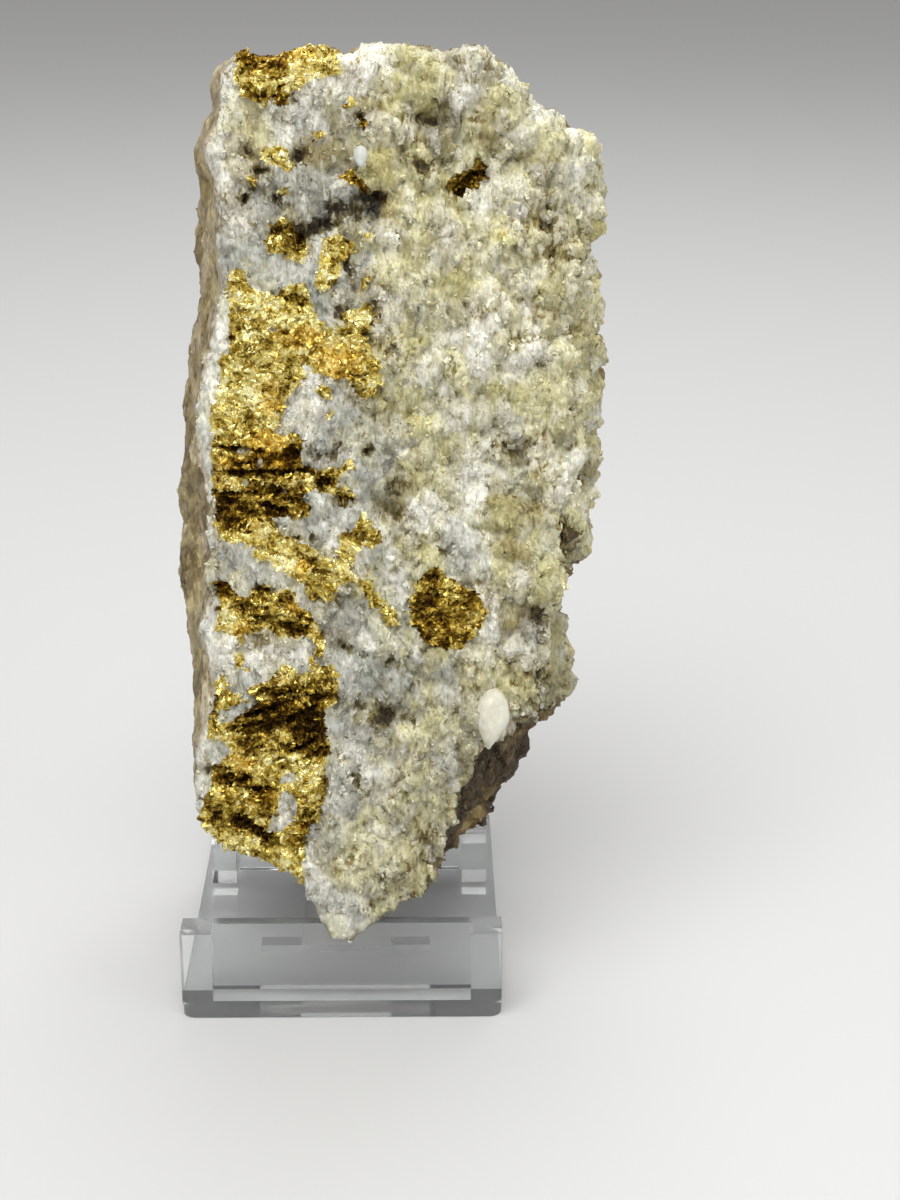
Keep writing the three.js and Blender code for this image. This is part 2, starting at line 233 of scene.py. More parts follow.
# Islands of quartz inside those masses.
QUARTZ_ISLANDS = [
    [(-5.4, 100.6), (-4.6, 101.5), (-3.4, 100.9), (-3.6, 99.7)],
    [(-9.8, 106.4), (-8.8, 106.9), (-8.2, 106.2), (-9, 105.6)],
    [(-15, 88.6), (-13.8, 89.4), (-12.4, 88.8), (-13.8, 88.2)],
    [(-14.3, 84), (-13.4, 84.7), (-12.6, 84), (-13.4, 83)],
    [(-8.6, 83.2), (-7.6, 83.8), (-7, 83), (-7.8, 82.4)],
    [(-11.6, 86.8), (-10.6, 87.2), (-10.2, 86.5), (-11, 86.2)],
    [
        (-18.6, 49.6), (-17, 50), (-14, 50.6), (-12.4, 51.6), (-12.6, 50.2), (-14.4, 49.2),
        (-16.4, 47.8), (-18, 47.2), (-18.8, 48.4),
    ],
    [(-15.2, 51), (-14, 52.2), (-12.6, 51.8), (-13.4, 50.9)],
    [(-21, 44.6), (-18.4, 44.6), (-16.6, 43.2), (-17, 42.1), (-19, 41.6), (-21, 42.4)],
    [(-9.4, 38.4), (-8.4, 39.8), (-7, 39.4), (-6.8, 38.2), (-8, 37.9)],
    [
        (-8.8, 37), (-7.4, 36.4), (-6.6, 34.6), (-6.8, 33), (-7.6, 31.4), (-9.4, 30.4),
        (-10.6, 31), (-10.8, 32.4), (-9.6, 33.6), (-9.4, 35.4),
    ],
]

# Dark hollows and tarnished places: x, z, half width, half height, slope, depth from 0 to 1.
HOLLOWS = [
    (5.9, 124.6, 2, 1.3, 0, 1), (0.1, 123.4, 0.7, 1.8, 20, 1), (-1.8, 120.9, 2.8, 0.9, 12, 1),
    (2.8, 123.6, 2.6, 1.4, 20, 0.7), (-4.9, 119.2, 0.7, 1.3, -20, 1),
    (-8.3, 120.2, 1.1, 0.4, 30, 0.8), (-6.6, 117.4, 0.9, 0.4, 0, 0.6),
    (-5.6, 120.6, 1.4, 0.9, 0, 0.8), (-10.6, 128.7, 1.2, 0.9, 0, 0.8),
    (-12.3, 124.7, 1.3, 0.35, 0, 1), (-8, 125.1, 0.9, 0.4, 20, 0.7), (-9.6, 139.1, 0.7, 0.4, 30, 0.5),
    (-8, 138.4, 3.4, 0.6, 0, 0.25), (-4.6, 130.8, 1.3, 1, 0, 0.8), (-12.6, 131, 1.4, 0.8, 0, 0.5),
    (12.6, 129.8, 2.6, 0.9, -8, 0.6), (3.9, 135.8, 1.1, 0.6, -30, 0.9),
    (-0.2, 113.1, 0.5, 0.5, 0, 0.9), (1.9, 116.2, 0.5, 0.7, 0, 1), (2.2, 114.6, 1, 1, 0, 0.8),
    (4.4, 105.8, 0.6, 0.4, 0, 1), (1.4, 108.8, 0.8, 1.2, 0, 0.9), (5.5, 109.3, 1, 0.8, -40, 0.9),
    (-6, 110.9, 2.6, 0.7, -12, 0.75), (-4.6, 109.9, 1.6, 0.5, 0, 0.6),
    (-15.2, 105.2, 0.7, 0.8, 0, 0.7), (-13.8, 106.6, 1.8, 0.4, 0, 0.5), (-7, 105.8, 1, 0.3, 0, 0.6),
    (2.6, 99.9, 2.4, 0.4, -10, 0.5), (3.2, 97.6, 0.6, 0.9, 0, 0.5), (-14.4, 89.2, 3.6, 0.3, -4, 1),
    (-11.8, 87.4, 3.6, 0.35, 8, 0.5), (-6.4, 88.6, 1.6, 1.2, 30, 0.8), (-13.8, 85.7, 3.8, 0.3, 0, 1),
    (-9.4, 85.5, 3.4, 0.55, 4, 1), (-13, 82.4, 5.2, 0.5, 0, 1), (-9.4, 83.2, 3.4, 0.7, -6, 0.9),
    (-6.6, 81.6, 2.4, 0.5, -6, 0.6), (-15.6, 80.6, 2.4, 1.5, 0, 0.75), (-9.2, 80.3, 2, 0.5, -12, 1),
    (-16, 78.4, 1.9, 1.1, 0, 0.8), (-13.6, 79.4, 2, 0.5, 0, 0.7), (-3.8, 85.9, 1.1, 0.5, -20, 1),
    (-1.6, 84.2, 1.6, 0.8, 0, 0.85), (1.4, 81.7, 1.6, 0.6, 0, 0.8), (4.9, 89, 0.9, 0.7, 0, 1),
    (-2, 88.2, 2.4, 0.6, 0, 0.6), (-5.2, 75.7, 1.9, 0.5, 0, 0.85), (3.6, 75.9, 1, 0.7, 0, 0.8),
    (-4, 72.4, 1.6, 0.8, -20, 0.65), (-2.4, 70.9, 1.8, 0.4, -12, 0.7), (-17.2, 68, 1.6, 1.4, 0, 0.6),
    (-11.4, 67.8, 1.4, 0.8, 0, 0.75), (-3.6, 66.9, 1.4, 0.6, -20, 0.7), (-11, 64, 2.4, 0.4, 0, 0.5),
    (-7, 62.2, 2.8, 0.9, -12, 0.7), (-13, 65.4, 2.4, 0.4, 0, 0.4), (-0.6, 66, 0.8, 0.8, 0, 0.4),
    (1.2, 59, 1.1, 0.6, 0, 0.7), (3.5, 58.1, 0.8, 0.5, 0, 0.65), (8.4, 56.9, 1.6, 0.3, 4, 0.75),
    (-6.6, 52.6, 4.4, 0.7, 18, 0.7), (-2.6, 51.6, 2.6, 0.7, 10, 0.85),
    (-9.4, 50.2, 5.4, 0.5, 20, 0.85), (-7.6, 48.2, 5.6, 0.6, 22, 0.85),
    (-4.2, 47.2, 2.4, 1.3, 40, 0.65), (-12.4, 47.2, 4, 0.4, 10, 0.7), (-5.6, 44, 1.9, 0.6, 20, 0.9),
    (-3.2, 43.2, 1.6, 1.3, 0, 0.6), (-19.2, 50.4, 0.7, 2.6, 0, 0.55), (-18.2, 40.3, 2.4, 0.4, 0, 0.9),
    (-16.6, 38.6, 2.6, 1, 0, 0.65), (-12.4, 37, 1.4, 0.6, 0, 0.75), (-14, 41.2, 1.6, 0.5, 30, 0.5),
    (-2.4, 37.2, 0.9, 2, 0, 0.5), (-15, 31.6, 1.6, 1.4, 0, 1), (-12.8, 30.2, 2.6, 0.8, -20, 1),
    (-4.8, 32.2, 1.1, 1.5, -30, 0.5), (-15.6, 34.8, 2, 0.4, 0, 0.4), (-6.4, 28.6, 1, 1.2, 0, 0.5),
    (-10.6, 28.2, 1.6, 0.5, 0, 0.5), (12.6, 135.6, 2.6, 0.7, -8, 0.7), (13.1, 129, 1, 0.5, 0, 0.8),
    (18.4, 126.6, 1.8, 1, 30, 0.8), (20.8, 128.4, 1.4, 0.7, 0, 0.6), (10.6, 130, 0.8, 0.4, 0, 0.5),
    (26.4, 130.6, 1.2, 0.7, 0, 0.4), (30.9, 121.2, 1.1, 0.7, 0, 0.5),
    (33.4, 117, 1.9, 0.5, -14, 0.45), (16.9, 101.2, 0.7, 1.4, 20, 0.4),
    (26.6, 104.4, 1.3, 1.3, 0, 0.35), (30.4, 105.4, 3.4, 0.35, 0, 0.35), (36, 106, 1.8, 1, 0, 0.4),
    (23.6, 93.2, 1.3, 0.5, 0, 0.2), (26.4, 88.6, 2.4, 0.6, 0, 0.4), (29.4, 80.4, 1.2, 0.8, -20, 0.4),
    (8.8, 83.6, 1.6, 1.4, 0, 0.5), (8.6, 79.6, 1.2, 1, 0, 0.4), (10.7, 76, 0.5, 0.5, 0, 0.7),
    (6.8, 48.5, 1.8, 1.5, 0, 0.9), (3.2, 49.7, 1, 0.5, 0, 0.6), (10.6, 47.8, 1.6, 0.5, -10, 0.5),
    (12.4, 53, 2.4, 0.25, 18, 0.5), (2.6, 38.2, 0.8, 1.3, 20, 0.6), (4, 31.2, 1.6, 0.3, 10, 0.45),
    (8.4, 33.2, 1.4, 0.4, 0, 0.5), (30.6, 63.4, 2, 1.1, -30, 0.8), (29.8, 60.2, 1.4, 0.5, 0, 0.4),
    (35.2, 75.6, 1.2, 2.8, 20, 1), (31.8, 54.4, 1.6, 1.2, 0, 0.8), (32.6, 51, 2.6, 1, 20, 0.8),
    (7, 22.6, 0.8, 0.4, 0, 0.5), (4.6, 17.8, 1.8, 0.6, 20, 0.35), (9.2, 38.6, 0.8, 0.6, 0, 0.35),
    (-1, 99, 2.6, 0.25, 0, 0.3), (-6.8, 96.6, 0.3, 1.6, -30, 0.3), (22.2, 84, 0.3, 3.6, 0, 0.3),
]

# Where the ore splits in thin leaves: x, z, reach, slope of the leaves, their spacing, their depth.
LEAVES = [
    (-11.6, 84.6, 7.6, -4, 1.5, 0.6), (-8, 49.6, 8.6, 22, 1.5, 0.9), (-7, 73, 6, -24, 1.4, 0.5),
    (-10, 64.6, 7, -10, 1.3, 0.6), (-9, 138.6, 5, 10, 1.4, 0.4),
]

# Larger rounded crystals and dips of the front and its top edge: x, z, half width, half height, rise.
KNOBS = [
    (-10.5, 146.5, 7, 6, -1.9), (-18.4, 132.4, 4.5, 5, 1.8), (-16.2, 141.2, 2.6, 3.4, 1.2),
    (4.8, 143.4, 3.2, 3.8, 1.3), (12.2, 143.6, 3, 3.2, 1), (20.2, 142.6, 2.8, 3.2, 1.1),
    (25, 137, 1.6, 3, -0.9), (29.6, 134.6, 3.2, 2.8, 0.4), (37, 131.6, 3.4, 3.6, 2),
    (30.5, 139, 4, 3, -1.2), (30.6, 103, 3.4, 2, 1), (20.6, 86, 2.2, 3.4, 0.8), (37, 87.6, 2.2, 3, 1),
    (25.8, 109, 2, 2, 0.9), (18.4, 75.6, 3.4, 4, 0.9), (4.4, 85.4, 3.6, 3.4, 0.7),
    (-5, 95.4, 3.4, 3.4, 0.6), (23, 65, 1.8, 3.6, 0.8), (32, 68, 2.2, 2.4, 1),
    (12, 46, 4.2, 2.4, 0.9), (33.6, 119, 2.8, 2.8, 0.9), (-4, 137, 3.2, 3, 0.7),
    (36.4, 70, 4, 6, -1.5), (8, 96, 2, 3, 0.7), (26.6, 52.4, 3.4, 2.6, 0.9),
    (8.2, 123.2, 1.6, 3, -0.8), (8.4, 80.6, 1.6, 4, -0.9),
]

# Shades of the ore: x, z, half width, half height, how much paler or duller, how amber.
ORE_SHADES = [
    (16.4, 65, 6, 7, -0.4, 0.1), (-9, 48, 10, 6, -0.24, 0.1), (-12, 33, 9, 6, -0.22, 0),
    (19, 127.4, 4, 3, -0.4, 0.2), (3, 127, 3, 2, -0.3, 0.3), (4.2, 135.4, 2, 2, -0.4, 0.4),
    (-10.4, 110.4, 2.6, 2.2, 0.34, 0), (3.6, 108.2, 1.7, 1.9, 0.2, 0), (-11.9, 104, 3, 1.5, -0.12, 0),
    (-5.1, 105.2, 3.4, 1.5, -0.04, 0.7), (0.4, 102, 3.2, 2.8, 0.02, 0.8),
    (-14, 97.4, 3.4, 4, 0.18, 0), (-9.6, 96.6, 1.8, 3, 0.04, 0.5), (-9.9, 90, 3.6, 1.6, 0.12, 0.9),
    (-14.6, 86.8, 3, 0.9, 0.16, 0.8), (-9.4, 87.6, 3, 1.2, -0.14, 1),
    (-15.7, 83.8, 1.8, 0.9, 0.34, 0), (-3.9, 84.2, 1, 0.9, 0.4, 0.1), (-1.6, 116.8, 1.2, 3, 0.3, 0.1),
    (2.8, 87.6, 1.6, 1.2, 0.1, 0.8), (-10.8, 77.8, 2.2, 1.4, 0.34, 0),
    (-7.4, 72.2, 2.8, 1.3, 0.38, 0.1), (-5.2, 71.8, 0.9, 0.8, 0.1, 1),
    (1.4, 73.4, 1.4, 2.4, 0.34, 0.1), (-17, 68.4, 1.4, 1.2, -0.36, 0.9),
    (-16.4, 63.6, 1.5, 2.1, 0.3, 0), (-14.6, 62.2, 1.2, 1.2, 0, 0.9), (-8.9, 64.8, 1, 0.9, 0.44, 0),
    (-6.9, 65.8, 1.2, 1, 0.06, 0.9), (-3.7, 62.4, 0.9, 1.7, 0.3, 0.4), (-8, 54.2, 1.2, 1.2, 0.3, 0.3),
    (-12.4, 51.4, 3.6, 0.6, 0.2, 0.2), (-9.3, 49.4, 4.6, 1.6, -0.2, 0.4),
    (-4.6, 46.2, 2.6, 1.8, -0.24, 0), (-16.2, 45, 2.6, 1.2, 0.4, 0),
    (-14.8, 41.8, 2.2, 1.1, 0.34, 0.8), (-11.2, 42.4, 1.8, 1.2, 0.38, 0),
    (-6.4, 41, 3.4, 2.4, 0.1, 0), (-4.8, 34.6, 1.4, 2.8, 0.12, 0),
    (-16.4, 39.2, 2.6, 1.2, -0.34, 0.2), (-17.6, 36.4, 1.6, 1.2, 0.2, 0.2),
    (-12, 36.2, 2.4, 1.4, -0.06, 0.6), (-14.4, 28.4, 3, 1, 0.5, 0), (-5.6, 30.4, 1.6, 1.4, -0.2, 0.6),
    (-10, 141.6, 5, 2.2, -0.06, 0), (-7, 145, 4, 1.4, -0.1, 0.7), (-4.4, 142.4, 1.6, 1.6, 0.1, 0.3),
    (20.4, 62.6, 2.4, 2, 0.24, 0.2), (14.6, 62, 2.4, 2.4, -0.1, 0.4), (15.4, 69.2, 2, 1.2, 0.16, 0.1),
    (-10.5, 83.5, 8.5, 5.6, -0.14, 0.2), (-13.6, 79.2, 4.4, 2.4, -0.16, 0.2),
    (-6.2, 80, 4.4, 3.2, -0.22, 0.1), (-6, 64.4, 4, 2.8, -0.2, 0.1), (-12.4, 66.4, 5, 2, -0.16, 0.1),
    (-9.6, 143.8, 3.4, 1.5, -0.28, 0.6), (-9, 138.9, 2.8, 0.8, -0.3, 0.2),
    (-13.4, 140.6, 1.4, 1.4, 0.26, 0), (-8, 47, 8, 3.4, -0.12, 0.1),
    (-5.8, 87.4, 1.8, 1.8, -0.24, 0.2),
]

# The broken-off lower right, set back under a ledge: its edge on the front face, as x, z.
SET_BACK = [
    (37, 52), (34.6, 50.2), (30.4, 49.6), (28.4, 47.8), (25.6, 46.4), (24, 45), (21.4, 44.8),
    (19.8, 43), (18.2, 39), (16.8, 34), (16, 28), (15.4, 22), (12, 16), (14, 4), (50, 4), (50, 47),
]

# Colours of the quartz, from white through iron-stained brown to smoky.
QUARTZ_TONES = {
    "white": (0.80, 0.793, 0.725),
    "blue_grey": (0.45, 0.462, 0.42),
    "cream": (0.64, 0.612, 0.37),
    "yellow_green": (0.49, 0.45, 0.20),
    "ochre": (0.30, 0.245, 0.09),
    "umber": (0.125, 0.095, 0.036),
    "smoky": (0.045, 0.042, 0.034),
}

# Where each tone gathers on the front face: x, z, half width, half height, strength.
TONE_PLACES = {
    "white": [
        (-3.8, 137.2, 2.6, 3, 4), (0.6, 141.4, 3, 1, 4), (5.4, 143.6, 2.8, 2.8, 3),
        (4, 130.4, 1.1, 1.4, 4), (-11.4, 122.6, 3.4, 2.6, 2.5), (-6.6, 114.2, 1.6, 1.6, 3),
        (7, 107, 1.5, 3.4, 2), (-5.2, 95, 2.6, 3, 4), (-2, 97.8, 3, 1.4, 2), (8.8, 68.8, 2, 2.2, 4),
        (-12.6, 70.8, 3, 1, 2), (-7.2, 68.8, 1.6, 1.2, 2), (-12, 58, 7, 2.8, 3.5),
        (-8.2, 34, 1.6, 3.6, 4), (0.6, 43, 2.6, 2, 2), (6, 38.6, 2, 2.4, 1.6),
        (6.2, 28, 2.6, 2.6, 1.4), (18.4, 143.6, 2.4, 1.6, 2), (18.6, 138.8, 2.2, 2, 2),
        (30.4, 136, 3.6, 2.6, 1.4), (23.6, 124.6, 3.4, 2.8, 2.4), (22, 110, 1.6, 3, 2.4),
        (21.6, 104, 2, 4, 3.4), (30.6, 109.4, 2.4, 1.6, 3), (30.4, 102.8, 3.2, 1.7, 5),
        (26.6, 99.6, 2.4, 1.2, 2.4), (36.4, 88.4, 1.8, 2.2, 2), (20.4, 83.6, 1.8, 4.6, 5),
        (13, 79.6, 2.4, 3, 3.4), (34.4, 84, 2, 2.4, 2), (23.4, 66.2, 1.4, 3.4, 6),
        (22.4, 60.4, 1.8, 3.6, 4), (27.6, 57.6, 2, 1.8, 1.4), (16, 106.4, 3.4, 2.6, 1),
        (-15.4, 141, 1.2, 4, 5), (-16.6, 127, 1, 4, 4), (16.4, 109, 2.6, 2, 1.6),
        (25, 93.2, 2.4, 1.8, 2.4), (20.6, 71.4, 1.8, 1.6, 2.4), (22, 92.6, 3, 2.6, 2.4),
        (12.2, 89, 2.4, 2.4, 2.4),
    ],
    "blue_grey": [
        (0.2, 136.6, 2, 2.4, 2), (-8.4, 127.4, 1.5, 1.6, 4), (-3, 125.6, 3, 3, 2),
        (-13, 117, 4, 2.4, 5), (-2.6, 113.4, 0.9, 5, 6), (-1.2, 108.8, 1.3, 2.4, 7),
        (5, 117.4, 2, 1.8, 4), (2.2, 114.6, 1.2, 1.2, 4), (1.4, 93, 4, 2, 3),
        (-2.4, 88.6, 2.2, 1.2, 4), (4.4, 85.4, 3.4, 3.2, 6), (-0.6, 78.6, 4.2, 3, 5),
        (-2.6, 81.2, 2, 1.2, 4), (6, 73, 1.9, 1.4, 7), (-14.6, 72.2, 3, 2, 4),
        (-7.6, 57.6, 2.4, 2.4, 2), (-13, 53.4, 2.6, 1.4, 3), (-15.6, 49, 3, 1.6, 5),
        (-18.6, 43.4, 1.6, 1.6, 5), (-8.2, 34, 1.6, 3.6, 3), (3.8, 62, 5, 4.4, 1.6),
        (3.4, 54.4, 4, 3.6, 2.2), (-0.4, 48.2, 1.8, 2.4, 5), (-3.6, 30, 1.5, 4.6, 4),
        (12.6, 55, 5.6, 3, 1.6), (26.8, 136.6, 1.2, 1.8, 2), (18.6, 132.8, 1.8, 1.6, 2.4),
        (23, 127.4, 1.4, 0.8, 3), (28.4, 113.4, 0.8, 1.8, 3), (30.6, 106.2, 3.2, 0.8, 2.4),
        (12.6, 98.8, 1.6, 1, 2), (18.4, 76.4, 2, 2.8, 5), (18.6, 72.8, 2.6, 3, 2.5),
        (32.4, 74.4, 1.6, 2.2, 2.4), (13.6, 62, 0.8, 3, 2), (-9, 124, 3, 2, 2.4),
        (0.4, 116.6, 1.6, 3.4, 3), (-10.8, 116, 2.4, 1.6, 2.6),
    ],
    "cream": [
        (-12, 135.6, 2.6, 2.6, 2), (3, 132, 3, 2, 2), (13, 46.6, 4, 2.4, 2.4),
        (3, 24.6, 3.6, 3.6, 1.6), (29.6, 133.4, 3.6, 3, 3), (33.4, 120, 2.4, 2.4, 2),
        (36, 78, 1.2, 2.8, 2), (31.8, 68, 1.8, 2, 3), (3.4, 108.4, 1.8, 3.4, 1.6),
        (12.4, 92.6, 2.6, 2, 1.2), (32, 95.6, 2.6, 2, 1.2), (7.6, 104.8, 2, 2.4, 1.4),
    ],
    "yellow_green": [
        (-1.4, 26, 1.6, 3, 1), (11.6, 142.4, 3.6, 3.6, 2.2), (8, 139, 1.6, 2, 2.2),
        (6.6, 130.8, 2, 1.6, 2.2), (7.2, 128.2, 2.2, 1, 2.4), (37, 120.4, 1.4, 2, 4),
        (17.2, 113.4, 2.4, 3, 1.6), (25.6, 109.2, 1.7, 1.9, 3.4), (12.4, 103.4, 1.6, 1.6, 1.6),
        (8.4, 96, 1.4, 2.6, 2), (24.4, 97.6, 2.4, 1.6, 1.8), (17.8, 95, 2.2, 1.6, 1.4),
        (15.4, 88.6, 3, 1.6, 1.2), (11.8, 83.6, 1, 1.2, 3), (26, 78.6, 3, 2.4, 1.8),
        (26, 70, 2.4, 2, 1.8), (32.6, 59, 1.6, 3, 1.6), (27.6, 53, 3, 2.6, 1.2),
    ],
    "ochre": [
        (-13.8, 132, 1.6, 2, 2.5), (-2.4, 131.8, 3, 1.6, 1.2), (8.8, 77.6, 1.6, 2.2, 2),
        (2.4, 32.4, 1.2, 0.9, 1.6), (23.4, 135, 1.8, 3.6, 2), (7.4, 123.4, 1.6, 2, 2.4),
        (16.4, 127.4, 1.6, 1.6, 2), (16.8, 119, 2.6, 2, 1.4), (19.4, 112.2, 1.6, 0.8, 1.2),
        (16.2, 111, 1, 0.8, 3), (36, 106.2, 1.6, 1.4, 2.4), (32.6, 91, 3, 1.2, 1.6),
        (24.2, 82, 1.6, 2.2, 3), (28.6, 80.6, 2, 1.6, 2.4), (27, 74, 3, 2.6, 1.5),
        (27.4, 62.2, 2.6, 1.6, 2.2), (-5, 121, 3.4, 2.4, 1.6), (-13.4, 129.4, 1.8, 2, 2),
        (5, 100.4, 0.9, 3.4, 1.4), (-4, 127, 12, 9, 0.3), (3, 131.5, 6, 5, 0.5),
        (-12.5, 130.5, 2.4, 2.4, 1.5), (-1.6, 60.6, 2.4, 3, 0.8), (-15.4, 73, 3.4, 2.2, 1.2),
    ],
    "umber": [
        (-4.8, 131.2, 1.2, 1.2, 2), (8.6, 80.6, 1.7, 4.4, 2.4), (7.6, 50.6, 1.4, 1, 2),
        (8.6, 47.4, 3, 1, 1.6), (12.8, 136.8, 3, 1.6, 2.2), (31, 121, 1.4, 1, 1.6),
        (33.6, 116.8, 2, 0.9, 1.4), (26.4, 104.4, 1.3, 1.3, 1.4), (26.6, 88.6, 2, 0.9, 1.6),
        (30, 63, 2.4, 1.6, 2.2), (33.2, 53.4, 2.2, 2.6, 2), (1.6, 119.6, 2.6, 1.4, 2),
        (-9.8, 126, 1.6, 1, 1.6), (-4, 127, 12, 9, 0.22), (8, 124, 7, 6, 0.2),
        (-0.6, 114.6, 1.4, 3, 1), (-2.6, 60.4, 3.4, 3, 0.8), (3.8, 132.4, 2.6, 2.6, 0.6),
        (12, 131.5, 5, 5, 0.35), (-2.4, 86.8, 2.6, 2, 2), (-5.4, 119, 2.4, 2.2, 1.6),
        (3.6, 111.6, 2, 2.4, 1.8), (35, 74.6, 1.4, 2.6, 1.2), (17.6, 40, 2.6, 4, 1.2),
        (3, 52, 7, 14, 0.14), (-15, 72.6, 3.4, 2.6, 1.2), (-1, 80, 4, 8, 0.12),
    ],
    "smoky": [
        (3.4, 124, 3, 1.7, 12), (-0.6, 121.9, 1.8, 0.9, 10), (-3.6, 120.4, 1.6, 0.8, 8),
        (-0.8, 122.8, 2.2, 1.6, 6), (0.6, 124.6, 1.6, 1.6, 5),
    ],
}

# The edge between the front face and the left flank, where a band of white quartz runs: x, z.
WHITE_EDGE = [
    (-22.4, 33), (-21.8, 38), (-20.6, 43), (-19.6, 50), (-19.1, 57), (-19, 70), (-18.8, 76),
    (-19.3, 82), (-19.9, 86), (-19.1, 91), (-19.6, 95), (-18.4, 100), (-17, 104), (-17.7, 110),
    (-17, 118), (-16.5, 128), (-16.9, 134), (-15.6, 140), (-15.2, 146),
]


def inside_outline(x, z, outline):
    """How far, in millimetres, each point lies inside a closed outline; negative outside."""
    nearest = np.full(len(x), np.inf)
    inside = np.zeros(len(x), bool)
    for (x0, z0), (x1, z1) in zip(outline, outline[1:] + outline[:1]):
        run_x, run_z = x1 - x0, z1 - z0
        along = np.clip(((x - x0) * run_x + (z - z0) * run_z) / (run_x ** 2 + run_z ** 2), 0, 1)
        nearest = np.minimum(nearest, np.hypot(x - x0 - along * run_x, z - z0 - along * run_z))
        if run_z:
            crosses = (z0 > z) != (z1 > z)
            inside ^= crosses & (x < x0 + (z - z0) * run_x / run_z)
    return np.where(inside, nearest, -nearest)


def face_depth(points):
    """How far a point lies behind the leaning front face."""
    return points[:, 1] - FACE_FOOT_Y - (points[:, 2] - FACE_FOOT_Z) * FACE_LEAN


def face_places(points):
    """Where each point's patch meets the front face, as x and z: patches run down into the rock."""
    dip = 0.60 - 0.0032 * points[:, 2]
    return points[:, 0], points[:, 2] + dip * face_depth(points)


def ragged_places(points, across, upward, layers=3):
    """The same places pushed about by noise, with a reach, a size and a seed each way."""
    x, z = face_places(points)
    reach_x, size_x, seed_x = across
    reach_z, size_z, seed_z = upward
    x = x + reach_x * layered(points, size_x, seed_x, layers)
    z = z + reach_z * layered(points, size_z, seed_z, layers)
    return x, z


def along_slope(x, z, slope):
    """Distances along and across a slope in degrees."""
    turn = math.radians(slope)
    return x * math.cos(turn) + z * math.sin(turn), z * math.cos(turn) - x * math.sin(turn)


def ore_field(points):
    """How far inside the ore a point of the rock's surface lies, with a ragged, hackly edge."""
    x, z = ragged_places(points, (0.35, 2.4, 11), (0.35, 2.4, 21))
    _, _, own = grains(warped(points, 1.5, 0.5, 12), 1.3, 15)
    x = x + 0.55 * (own[:, 0] - 0.5)
    z = z + 0.55 * (own[:, 1] - 0.5)
    inside = np.full(len(x), -np.inf)
    for outline in ORE_OUTLINES:
        inside = np.maximum(inside, inside_outline(x, z, outline))
    for outline in QUARTZ_ISLANDS:
        inside = np.minimum(inside, -inside_outline(x, z, outline))
    inside = inside + 0.12 * noise(points, 0.8, 31)
    reach = 6.0 + 6.0 * smooth(*TOP_EDGE, points[:, 2])
    return np.minimum(inside, reach - face_depth(points) + 1.5 * noise(points, 3.0, 33))


def hollow_field(points):
    """From 0 to 1: how deep in a dark hollow a point of the front face lies."""
    x, z = ragged_places(points, (0.9, 2.2, 41), (0.55, 2.0, 51), 4)
    deepest = np.zeros(len(points))
    for cx, cz, half_x, half_z, slope, depth in HOLLOWS:
        along, across = along_slope(x - cx, z - cz, slope)
        away = np.hypot(along / half_x, across / half_z)
        deepest = np.maximum(deepest, depth * np.clip(1.7 - away * 1.1, 0, 1))
    return deepest * np.clip(1.8 - face_depth(points) / 6, 0, 1)


def leaf_field(points):
    """From -1 in the splits to 1 on the leaves, where the ore splits in leaves; 0 elsewhere."""
    x, z = face_places(points)
    total = np.zeros(len(points))
    for cx, cz, reach, slope, spacing, depth in LEAVES:
        _, across = along_slope(x - cx, z - cz, slope)
        across = across + 1.3 * layered(points * np.array([0.45, 1, 1]), 3.0, 61)
        wave = np.sin(across / spacing * 2 * math.pi) * (0.7 + 0.6 * noise(points, 2.0, 67))
        near = np.clip(1.6 - np.hypot(x - cx, z - cz) / reach, 0, 1)
        total += depth * near * wave
    return total


def knob_field(points):
    """Rise in millimetres of the larger rounded crystals, and fall of the dips."""
    x, z = face_places(points)
    total = np.zeros(len(points))
    for cx, cz, half_x, half_z, rise in KNOBS:
        total += rise * np.clip(1 - ((x - cx) / half_x) ** 2 - ((z - cz) / half_z) ** 2, 0, 1)
    depth = face_depth(points) * (1 - 0.4 * smooth(*TOP_EDGE, points[:, 2]))
    return total * smooth(26.0, 18.0, depth)


def shade_fields(points):
    """How much paler, or duller if negative, the ore is at each point, and how amber."""
    x, z = ragged_places(points, (0.7, 1.8, 241), (0.5, 1.6, 245))
    paler = np.zeros(len(points))
    amber = np.zeros(len(points))
    for cx, cz, half_x, half_z, amount, warmth in ORE_SHADES:
        near = smooth(1.35, 0.75, np.hypot((x - cx) / half_x, (z - cz) / half_z))
        paler += amount * near
        amber = np.maximum(amber, warmth * near)
    return paler, amber


def front_share(points, normals):
    """1 on the broken front face, 0 on the flanks, the back and the set-back foot."""
    depth = face_depth(points) + 1.5 * layered(points, 7.0, 251)
    right = smooth(22.0, 28.0, points[:, 0])
    edges = right * smooth(-0.5, -0.15, normals[:, 2]) + smooth(0.3, 0.7, normals[:, 2])
    facing = smooth(0.3, 0.6, -normals[:, 1] + 0.8 * edges)
    past_edge = smooth(1.6, 3.4, depth) * (1 - smooth(-12.0, -6.0, points[:, 0]))
    past_edge = past_edge * smooth(0.6, 0.2, normals[:, 2])
    shallow = 1 - smooth(8.0, 13.0, depth - 8.0 * right)
    return facing * (1 - past_edge) * shallow * (1 - set_back_share(points))


def left_flank(points, normals):
    """1 on the left flank, which is an older, smoother break than the front."""
    return smooth(0.3, 0.65, -normals[:, 0]) * (1 - front_share(points, normals))


